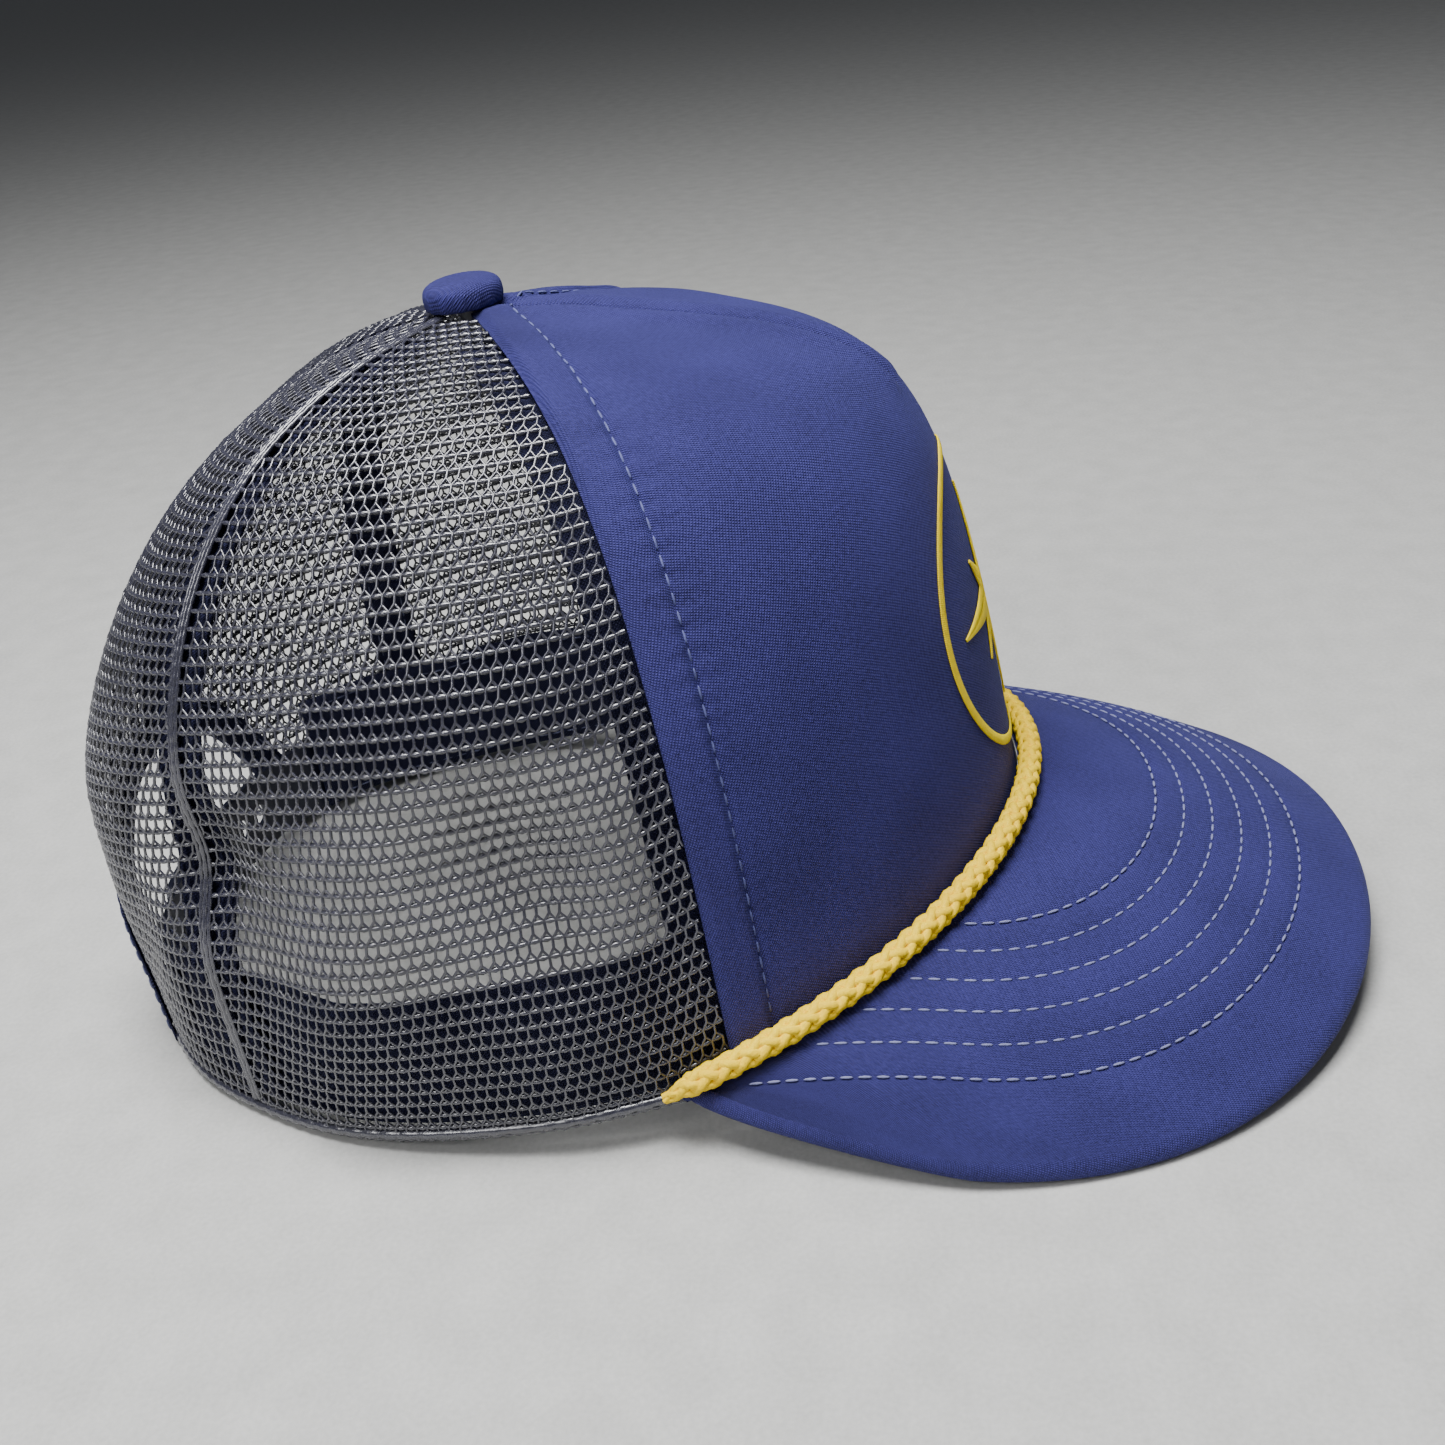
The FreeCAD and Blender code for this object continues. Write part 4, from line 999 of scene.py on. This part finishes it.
def build_sweatband(scene, shape, thread):
    """Padded band round the head, folded at the bottom, with two rows of stitches."""
    reach = math.radians(146)
    height = shape.trim.sweatband
    bottom = 1.2 * MM

    def band(u, v):
        theta = (2 * u - 1) * reach
        share = shape.share_at_height(theta, bottom + v * (height - bottom))
        pad = 0.9 * MM * np.sin(np.clip(v, 0, 1) * math.pi) ** 0.6
        ripple = 0.22 * MM * np.sin(theta * 70 + 3 * np.sin(theta * 9)) * v
        return shape.lining_surface(theta, share, 4.0 * MM + pad + ripple)

    base = scene.cap_finish.tape
    material = cloth_material(scene, "sweatband_cloth", base, 600.0)
    piece = new_piece("sweatband_cloth", mapped_grid(260, 18, band), [material])
    thicken(piece, 1.0 * MM, -1.0)
    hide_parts("sweatband")
    bm = bmesh.new()
    theta = np.linspace(-reach + 0.02, reach - 0.02, 300)
    for above in (3.2 * MM, height - 2.2 * MM):
        share = shape.share_at_height(theta, above)
        path = shape.lining_surface(theta, share, 5.75 * MM)
        add_stitches(bm, path, 3.0 * MM, 0.9 * MM, 0.22 * MM, 7)
    new_piece("sweatband_stitches", bm, [thread])


# ------------------------------------------------------------------ brim


def brim_relief(shape, x, y):
    """Quilting of the brim: each stitch row pulls the cloth down between soft pads."""
    inset = shape.inset_of(x, y)
    relief = np.zeros(np.shape(x))
    for row in shape.row_insets():
        relief -= 0.42 * MM * bell(inset - row, 0.75 * MM)
    first, last = shape.row_insets()[0], shape.row_insets()[-1]
    quilted = smooth_step((inset - first) / (3 * MM)) * smooth_step((last - inset) / (3 * MM))
    return relief + 0.25 * MM * quilted


def brim_sheet(shape, side):
    """Upper (side 1) or lower (side -1) cloth of the brim, down to the seam in its edge."""
    half = shape.thickness / 2

    def sheet(u, v):
        place = 2 * u - 1
        edge = shape.brim_edge(place)
        turn = place * shape.corner
        inner = np.stack([
            (shape.half_width + 0.3 * MM) * np.sin(turn),
            -(shape.half_length + 0.3 * MM) * np.cos(turn),
        ], -1)
        flat = np.clip(v / 0.94, 0, 1)
        nose = np.clip((v - 0.94) / 0.06, 0, 1) * math.pi / 2
        rim = edge - inner
        rim_length = np.linalg.norm(rim, axis=-1)[..., None]
        outward = rim / np.clip(rim_length, 1e-6, None)
        reach = np.clip(rim_length - half, 0, None)
        plan = inner + outward * (reach * flat[..., None] + half * np.sin(nose)[..., None])
        x, y = plan[..., 0], plan[..., 1]
        top = shape.brim_height(x, y)
        middle = top - half
        relief = brim_relief(shape, x, y) * (flat < 1)
        z = middle + side * (half * np.cos(nose) + relief)
        return shape.to_row(np.stack([x, y, z], -1))

    if side > 0:
        return mapped_grid(210, 150, sheet)
    return mapped_grid(210, 150, lambda u, v: sheet(1 - u, v))


def brim_row_paths(shape, lift, side=1):
    """Stitch paths on the brim, outermost first, each from crown to crown."""
    paths = []
    half = shape.thickness / 2
    for inset in shape.row_insets():
        front = shape.brim_edge(np.linspace(-FRONT_SHARE, FRONT_SHARE, 161), inset)
        back = np.linspace(shape.brim.widest, -10 * MM, 40)
        left = np.stack([np.full(40, front[-1, 0]), back], 1)
        right = np.stack([np.full(40, front[0, 0]), back[::-1]], 1)
        plan = np.concatenate([right[:-1], front, left[1:]])
        grown_x = plan[:, 0] / (shape.half_width + 4.6 * MM)
        grown_y = plan[:, 1] / (shape.half_length + 4.6 * MM)
        plan = plan[grown_x**2 + grown_y**2 > 1]
        middle = shape.brim_height(plan[:, 0], plan[:, 1]) - half
        z = middle + side * (half + lift)
        paths.append(shape.to_row(np.stack([plan[:, 0], plan[:, 1], z], 1)))
    return paths


def build_brim(scene):
    shape = CapShape(scene)
    cloth = cloth_material(scene)
    upper = new_piece("brim_upper", brim_sheet(shape, 1), [cloth])
    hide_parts("brim_upper_cloth")
    lower = new_piece("brim_lower", brim_sheet(shape, -1), [cloth])
    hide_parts("brim_lower_cloth")
    thread = yarn_material(scene, "brim_thread", scene.cap_finish.thread)
    for side, name in ((1, "brim_rows_top"), (-1, "brim_rows_under")):
        bm = bmesh.new()
        for number, path in enumerate(brim_row_paths(shape, -0.02 * MM, side)):
            add_stitches(bm, path, shape.trim.stitch, shape.trim.stitch_gap,
                         shape.trim.thread, number)
        piece = new_piece(name, bm, [thread])
        if side > 0:
            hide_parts("brim_stitching")
    board = plain_material(scene, "board_plastic", scene.cap_finish.board, (0.4, 0.55), 0.0001)
    give_material("brim_board", board)


def give_material(node, material):
    """A new finish for a CAD node whose shape is right."""
    mesh = frame["nodes"][node].data
    mesh.materials.clear()
    mesh.materials.append(material)


# ------------------------------------------------------------------ rope


END_TUCK_IN = 0.018  # share of its width by which the rope's ends move in
END_TUCK_DOWN = 1.6 * MM


def rope_centre(shape):
    """The rope's route in the corner between crown and brim, tucked under the mesh at its ends."""
    end = shape.corner + 0.045
    turn = np.linspace(-end, end, 700)
    out = shape.trim.rope_radius + shape.trim.rope_gap
    x = (shape.half_width + out) * np.sin(turn)
    y = -(shape.half_length + out) * np.cos(turn)
    slope = np.hypot(2 * shape.brim.curl * x, shape.brim.slope)
    z = shape.brim_height(x, y) + out * np.hypot(1.0, slope) * 0.98
    tucked = smooth_step((np.abs(turn) - shape.corner + 0.02) / 0.065)
    inward = 1 - END_TUCK_IN * tucked
    return shape.to_row(np.stack([x * inward, y, z - END_TUCK_DOWN * tucked], 1))


def build_rope(scene):
    """Eight strands that spiral both ways and pass over and under each other."""
    shape = CapShape(scene)
    centre = rope_centre(shape)
    radius = shape.trim.rope_radius
    steps = np.linalg.norm(np.diff(centre, axis=0), axis=1)
    travelled = np.concatenate([[0], steps.cumsum()])
    count = int(travelled[-1] / (0.85 * MM))
    places = np.linspace(0, travelled[-1], count)
    line = np.stack([np.interp(places, travelled, centre[:, k]) for k in range(3)], 1)
    ends = np.minimum(places, travelled[-1] - places)
    taper = 0.45 + 0.55 * smooth_step(ends / (9 * MM))
    forward = np.gradient(line, axis=0)
    forward /= np.linalg.norm(forward, axis=1)[:, None]
    side = np.cross(forward, [0, 0, 1.0])
    side /= np.linalg.norm(side, axis=1)[:, None]
    up = np.cross(side, forward)
    strands = []
    strand_radius = 0.41 * radius
    for number in range(8):
        hand = 1 if number % 2 else -1
        spin = hand * 2 * math.pi * places / shape.trim.rope_lay + (number // 2) * math.pi / 2
        weave = hand * 0.12 * radius * np.cos(4 * spin)
        reach = (0.57 * radius + weave) * taper
        points = line + reach[:, None] * (np.cos(spin)[:, None] * side + np.sin(spin)[:, None] * up)
        strands.append((points, strand_radius * taper))
    mesh = strand_mesh("rope", strands, 2)
    material = yarn_material(scene, "rope_yarn", scene.cap_finish.rope, 0.0004, 0.0)
    piece = place_piece("rope", mesh, [material])
    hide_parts("rope_braid")


# ------------------------------------------------------------------ button


def build_button(scene):
    """Cushion-shaped button: a spun profile with small pleats gathered under its rim."""
    shape = CapShape(scene)
    low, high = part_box("button_cover")
    radius = (high.x - low.x) / 2
    tall = 5.8 * MM
    bm = bmesh.new()
    profile = []
    for step in range(19):
        turn = math.pi / 2 - math.pi * step / 18 * 0.97
        fullness = 0.72 if turn > 0 else 0.15
        across = radius * abs(math.cos(turn)) ** fullness
        rise = tall * 0.45 + tall * 0.55 * signed_power(math.sin(turn), 0.8)
        profile.append(bm.verts.new((across, 0, max(float(rise), 0.0))))
    for start, end in zip(profile, profile[1:]):
        bm.edges.new((start, end))
    bmesh.ops.spin(
        bm, geom=bm.verts[:] + bm.edges[:], cent=(0, 0, 0), axis=(0, 0, 1),
        angle=2 * math.pi, steps=64, use_merge=True, use_duplicate=False,
    )
    bmesh.ops.remove_doubles(bm, verts=bm.verts, dist=1e-6)
    bmesh.ops.recalc_face_normals(bm, faces=bm.faces)
    for vertex in bm.verts:
        reach = math.hypot(vertex.co.x, vertex.co.y)
        turn = math.atan2(vertex.co.y, vertex.co.x)
        under = max(0.0, 1 - vertex.co.z / (tall * 0.55))
        pleat = 1 + 0.025 * under * math.sin(turn * 14)
        dimple = 0.35 * MM * math.exp(-((reach / (3.2 * MM)) ** 2))
        vertex.co.x *= pleat
        vertex.co.y *= pleat
        vertex.co.z -= dimple if vertex.co.z > tall * 0.6 else 0.0
    layer = bm.loops.layers.uv.new("cloth")
    for face in bm.faces:
        for loop in face.loops:
            loop[layer].uv = (loop.vert.co.x, loop.vert.co.y + loop.vert.co.z)
    place = shape.row_matrix @ Matrix.Translation((0, 0, shape.height + 0.1 * MM))
    bmesh.ops.transform(bm, matrix=place, verts=bm.verts)
    piece = new_piece("button_cloth", bm, [cloth_material(scene)])
    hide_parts("button_cover")
    board = plain_material(scene, "board_plastic", scene.cap_finish.board, (0.4, 0.55), 0.0001)
    give_material("button_core", board)
    settings = {"Metallic": 0.7}
    metal = plain_material(scene, "rivet_metal", scene.cap_finish.metal, (0.3, 0.45), 0.00005,
                           settings)
    give_material("button_rivet", metal)


# ------------------------------------------------------------------ emblem


class FrontProjector:
    """Puts flat drawing points, across and up, onto the cloth of the front."""

    def __init__(self, shape):
        self.shape = shape
        theta = np.radians(np.linspace(-35, 35, 281))
        share = np.linspace(0.0, 0.62, 200)
        self.theta, self.share = np.meshgrid(theta, share)
        points = shape.crown_point(self.theta, self.share)
        self.tree = BVHTree.FromPolygons(
            points.reshape(-1, 3).tolist(), self.quads(*self.theta.shape)
        )

    @staticmethod
    def quads(rows, columns):
        faces = []
        for row in range(rows - 1):
            start = row * columns
            faces += [
                (start + i, start + i + 1, start + columns + i + 1, start + columns + i)
                for i in range(columns - 1)
            ]
        return faces

    def place(self, across, up, lift):
        """Row-frame point and normal over the drawing point."""
        origin = Vector((across, -0.2, up))
        hit, normal, _, _ = self.tree.ray_cast(origin, Vector((0, 1, 0)))
        if normal.y > 0:
            normal = -normal
        turn = self.shape.row_matrix
        return turn @ (hit + normal * lift), turn.to_3x3() @ normal


def add_satin(bm, projector, ends, radius, lift):
    """One embroidery stitch between two drawing points, lying on the cloth."""
    points = [projector.place(x, z, lift) for x, z in ends]
    middle, _ = projector.place(
        (ends[0][0] + ends[1][0]) / 2, (ends[0][1] + ends[1][1]) / 2, lift + radius * 0.5
    )
    direction = points[1][0] - points[0][0]
    half = direction.length / 2 + radius * 0.5
    turn = direction.to_track_quat("Z", "Y").to_matrix().to_4x4()
    size = Matrix.Diagonal((radius, radius, half, 1))
    place = Matrix.Translation(middle) @ turn @ size
    bmesh.ops.create_uvsphere(bm, u_segments=6, v_segments=4, radius=1, matrix=place)


def build_emblem(scene):
    """Satin-stitched ring and eight-pointed compass star."""
    shape = CapShape(scene)
    projector = FrontProjector(shape)
    height = shape.trim.emblem_height
    gold = yarn_material(scene, "gold_thread", scene.cap_finish.gold, 0.0002, 0.0)
    outer = shape.trim.emblem / 2
    inner = outer - 2.0 * MM
    spacing = 0.42 * MM
    ring = bmesh.new()
    count = int(2 * math.pi * outer / spacing)
    for number in range(count):
        turn = 2 * math.pi * number / count
        tips = [
            (reach * math.sin(turn + skew), height + reach * math.cos(turn + skew))
            for reach, skew in ((inner, 0.0), (outer, 0.012))
        ]
        add_satin(ring, projector, tips, 0.27 * MM, 0.15 * MM)
    piece = new_piece("emblem_ring_stitches", ring, [gold])
    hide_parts("emblem_ring")
    star = bmesh.new()
    reach = shape.trim.star / 2
    for number in range(8):
        turn = math.pi / 4 * number
        long_ray = number % 2 == 0
        tip = reach if long_ray else reach * 0.64
        half_base = reach * (0.17 if long_ray else 0.13)
        steps = int((tip - half_base) / spacing)
        for step in range(steps):
            along = half_base * 0.9 + (tip - half_base * 0.9) * step / steps
            width = half_base * (1 - step / steps) + 0.2 * MM
            for side in (-1, 1):
                ends = []
                for part in (0.04, 1.0):
                    x, z = side * width * part, along - width * part * 0.5
                    ends.append((
                        x * math.cos(turn) + z * math.sin(turn),
                        height - x * math.sin(turn) + z * math.cos(turn),
                    ))
                add_satin(star, projector, ends, 0.27 * MM, 0.15 * MM)
    piece = new_piece("emblem_star_stitches", star, [gold])
    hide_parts("emblem_star")


# ------------------------------------------------------------------ back arch and closure


def arch_point(shape, turn, margin):
    """Across and up on the edge of the back opening, grown by a margin."""
    across = (shape.crown.arch_half_width + margin) * np.cos(turn)
    up = shape.crown.back_hem + (shape.crown.arch_height + margin) * np.sin(turn)
    return across, up


class BackProjector(FrontProjector):
    """Finds the angle and share of the crown behind a drawing point on its back."""

    def __init__(self, shape):
        self.shape = shape
        theta = math.pi + np.radians(np.linspace(-52, 52, 241))
        share = np.linspace(0.0, 0.75, 160)
        self.theta, self.share = np.meshgrid(theta, share)
        points = shape.crown_point(self.theta, self.share)
        normal = shape.crown_normal(self.theta, self.share)
        relief = shape.mesh_relief(self.theta - 2 * math.pi * (self.theta > math.pi), self.share)
        points = points + normal * relief[..., None]
        self.tree = BVHTree.FromPolygons(
            points.reshape(-1, 3).tolist(), self.quads(*self.theta.shape)
        )

    def place(self, across, up, lift):
        origin = Vector((float(across), 0.3, float(up)))
        hit, normal, _, _ = self.tree.ray_cast(origin, Vector((0, -1, 0)))
        if hit is None:
            hit = self.tree.find_nearest(origin)[0]
            normal = Vector((0, 1, 0))
        if normal.y < 0:
            normal = -normal
        turn = self.shape.row_matrix
        return turn @ (hit + normal * lift), turn.to_3x3() @ normal


def build_binding(scene):
    """Tape folded over the edge of the back arch, with a row of stitches on each face."""
    shape = CapShape(scene)
    projector = BackProjector(shape)
    width = shape.trim.binding
    outside, inside = 0.75 * MM, -1.95 * MM

    def around(turn, fold):
        """fold runs from 0 at the outer leg's end, over the edge, to 1 at the inner leg's end."""
        margin, depth = width, outside
        if fold < 0.42:
            margin = width - (width - 0.4 * MM) * fold / 0.42
        elif fold > 0.58:
            margin = 0.4 * MM + (width - 0.4 * MM) * (fold - 0.58) / 0.42
            depth = inside
        else:
            bend = (fold - 0.42) / 0.16 * math.pi
            margin = 0.4 * MM - 1.3 * MM * math.sin(bend)
            depth = (outside + inside) / 2 + (outside - inside) / 2 * math.cos(bend)
        across, up = arch_point(shape, turn, margin)
        return projector.place(across, max(up, shape.crown.back_hem + 0.2 * MM), depth)[0]

    def binding(u, v):
        points = np.zeros(u.shape + (3,))
        for index in np.ndindex(u.shape):
            points[index] = around(math.pi * (0.004 + 0.992 * u[index]), 1 - v[index])
        return points

    piece = new_piece("arch_binding_cloth", mapped_grid(120, 24, binding),
                      [tape_material(scene)])
    thicken(piece, 0.45 * MM)
    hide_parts("back_arch_binding")
    stitches = bmesh.new()
    for lift in (outside + 0.1 * MM, inside - 0.1 * MM):
        path = []
        for turn in np.linspace(0.05, math.pi - 0.05, 160):
            across, up = arch_point(shape, turn, width - 1.2 * MM)
            path.append(projector.place(across, up, lift)[0])
        add_stitches(stitches, path, 2.6 * MM, 0.7 * MM, 0.24 * MM, 11)
    thread = yarn_material(scene, "lining_thread", (0.10, 0.11, 0.2))
    new_piece("arch_binding_stitches", stitches, [thread])


def softened_copy(node, name, body, material, edge):
    """A copy of a moulded CAD piece with its sharp edges rounded."""
    bm = bmesh.new()
    bm.from_mesh(frame["nodes"][node].data)
    bmesh.ops.remove_doubles(bm, verts=bm.verts, dist=1e-6)
    bmesh.ops.dissolve_limit(
        bm, angle_limit=math.radians(2), verts=bm.verts, edges=bm.edges,
        use_dissolve_boundaries=False,
    )
    sharp = [
        item for item in bm.edges
        if len(item.link_faces) == 2 and item.calc_face_angle(0) > math.radians(40)
    ]
    bmesh.ops.bevel(
        bm, geom=sharp, offset=edge, offset_type="OFFSET", segments=2, profile=0.5,
        affect="EDGES", clamp_overlap=True, material=-1,
    )
    bmesh.ops.triangulate(bm, faces=bm.faces)
    piece = new_piece(name, bm, [material], body, smooth=False)
    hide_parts(node)
    return piece


STRAP_END_ANGLE = 17.0  # degrees by which a strap's end turns from straight across


def flex_strip(shape, joint, root, strap, side, material):
    """The thin bend of a strap, from its sewn root over the hinge into the strap itself."""
    thickness = 1.2 * MM
    height = 18.6 * MM
    into_root, into_strap = 2.6 * MM, 1.6 * MM
    hinge = Vector(joint["pos_m"])
    low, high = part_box(root)
    outward = ((low + high) / 2 - hinge).normalized()
    span = math.radians(STRAP_END_ANGLE)
    inward = shape.row_matrix.to_3x3() @ Vector((-side * math.cos(span), math.sin(span), 0))
    upward = Vector(joint["axis"]).normalized()
    bm = bmesh.new()
    bmesh.ops.create_cube(bm, size=1)
    along = [edge for edge in bm.edges if abs(edge.verts[0].co.x - edge.verts[1].co.x) > 0.5]
    bmesh.ops.subdivide_edges(bm, edges=along, cuts=9, use_grid_fill=True)
    for vertex in bm.verts:
        place = vertex.co.x * 2
        axis, reach = (outward, into_root) if place > 0 else (inward, into_strap)
        across = upward.cross(axis).normalized() * (1 if place > 0 else -1)
        spine = hinge + axis * (abs(place) * reach)
        vertex.co = spine + across * (vertex.co.y * thickness) + upward * (vertex.co.z * height)
    bmesh.ops.recalc_face_normals(bm, faces=bm.faces)
    mesh = bpy.data.meshes.new(f"{strap}_bend")
    bm.to_mesh(mesh)
    bm.free()
    piece = bpy.data.objects.new(f"{strap}_bend", mesh)
    bpy.context.scene.collection.objects.link(piece)
    mesh.materials.append(material)
    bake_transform(piece)


def build_closure(scene):
    """Plastic straps with pegs and holes."""
    shape = CapShape(scene)
    settings = {"Specular IOR Level": 0.5}
    plastic = plain_material(scene, "snap_plastic", scene.cap_finish.plastic, (0.32, 0.5),
                             0.00006, settings)
    for node, body in (
        ("peg_strap", "peg_strap"),
        ("hole_strap", "hole_strap"),
        ("peg_strap_root", "cap"),
        ("hole_strap_root", "cap"),
    ):
        softened_copy(node, f"{node}_moulding", body, plastic, 0.22 * MM)
    joints = {joint["child"]: joint for joint in frame["joints"]}
    for strap, side in (("peg_strap", -1), ("hole_strap", 1)):
        flex_strip(shape, joints[strap], f"{strap}_root", strap, side, plastic)


# ------------------------------------------------------------------ stage


def build_stage(scene):
    """Pale floor, soft lights and the camera."""
    bm = bmesh.new()
    bmesh.ops.create_grid(bm, x_segments=1, y_segments=1, size=12)
    mesh = bpy.data.meshes.new("floor")
    bm.to_mesh(mesh)
    bm.free()
    floor = bpy.data.objects.new("floor", mesh)
    scene.collection.objects.link(floor)
    material = plain_material(scene, "floor_paper", (0.42, 0.42, 0.41), (0.85, 0.95), 0.0001)
    mesh.materials.append(material)
    world = bpy.data.worlds.new("studio")
    world.use_nodes = True
    background = world.node_tree.nodes["Background"]
    background.inputs["Color"].default_value = (0.80, 0.84, 0.92, 1)
    background.inputs["Strength"].default_value = 0.09
    scene.world = world
    target = Vector((0, 0, 0.06))
    for name, place, size, power in (
        ("overhead", (-0.12, 0.10, 0.90), 0.45, 19.0),
        ("window", (-0.75, 0.55, 0.70), 0.40, 5.5),
        ("fill", (-0.2, -1.0, 0.55), 0.70, 1.0),
    ):
        lamp = bpy.data.lights.new(name, "AREA")
        lamp.size = size
        lamp.energy = power
        holder = bpy.data.objects.new(name, lamp)
        scene.collection.objects.link(holder)
        holder.location = place
        holder.rotation_euler = (target - Vector(place)).to_track_quat("-Z", "Y").to_euler()
    add_camera(scene)


def add_camera(scene):
    """A close view from the wearer's right, a little above, with a slight roll."""
    azimuth, elevation, roll = math.radians(-82.82), math.radians(27.28), math.radians(-5.61)
    target = Vector((0.0, 0.0024, 0.0483))
    distance = 0.3746
    back = Vector((
        math.sin(azimuth) * math.cos(elevation),
        -math.cos(azimuth) * math.cos(elevation),
        math.sin(elevation),
    ))
    right = Vector((0, 0, 1)).cross(back).normalized()
    up = back.cross(right)
    turned_right = right * math.cos(roll) + up * math.sin(roll)
    turned_up = up * math.cos(roll) - right * math.sin(roll)
    camera = bpy.data.cameras.new("camera")
    camera.sensor_width = 36.0
    camera.lens = 42.04
    camera.clip_start = 0.01
    holder = bpy.data.objects.new("camera", camera)
    scene.collection.objects.link(holder)
    axes = Matrix((turned_right, turned_up, back)).transposed().to_4x4()
    holder.matrix_world = Matrix.Translation(target + back * distance) @ axes
    scene.camera = holder


# ------------------------------------------------------------------ add-on


def make_operator(identifier, label, text, build):
    """One operator class that runs one building function."""

    def execute(self, context):
        build(context.scene)
        return {"FINISHED"}

    members = {
        "__doc__": text,
        "bl_idname": f"cap.{identifier}",
        "bl_label": label,
        "execute": execute,
    }
    return type(f"CAP_OT_{identifier}", (bpy.types.Operator,), members)


OPERATORS = [
    make_operator("front", "Front panel", "Build the padded front and its foam", build_front),
    make_operator("mesh", "Mesh panels", "Knit the four mesh panels", build_mesh),
    make_operator("linings", "Linings", "Build tapes and sweatband", build_linings),
    make_operator("brim", "Brim", "Build the stitched brim", build_brim),
    make_operator("rope", "Rope", "Braid the rope", build_rope),
    make_operator("button", "Button", "Build the button", build_button),
    make_operator("emblem", "Emblem", "Embroider the emblem", build_emblem),
    make_operator("binding", "Arch binding", "Bind the back arch", build_binding),
    make_operator("closure", "Snap closure", "Finish the plastic straps", build_closure),
    make_operator("stage", "Stage", "Set floor, lights and camera", build_stage),
]


class CAP_PT_panel(bpy.types.Panel):
    """Lists the cap's operators."""

    bl_label = "Trucker mesh cap"
    bl_space_type = "VIEW_3D"
    bl_region_type = "UI"
    bl_category = "Cap"

    def draw(self, context):
        for operator in OPERATORS:
            self.layout.operator(operator.bl_idname)


GROUPS = {
    "cap_crown": CrownSizes,
    "cap_brim": BrimSizes,
    "cap_trim": TrimSizes,
    "cap_finish": Finishes,
}


def register():
    for group in GROUPS.values():
        bpy.utils.register_class(group)
    for name, group in GROUPS.items():
        setattr(bpy.types.Scene, name, PointerProperty(type=group))
    for operator in OPERATORS:
        bpy.utils.register_class(operator)
    bpy.utils.register_class(CAP_PT_panel)


def unregister():
    bpy.utils.unregister_class(CAP_PT_panel)
    for operator in reversed(OPERATORS):
        bpy.utils.unregister_class(operator)
    for name, group in GROUPS.items():
        delattr(bpy.types.Scene, name)
        bpy.utils.unregister_class(group)


def main():
    register()
    for operator in OPERATORS:
        identifier = operator.bl_idname.split(".")[1]
        getattr(bpy.ops.cap, identifier)()


if __name__ == "__main__":
    main()
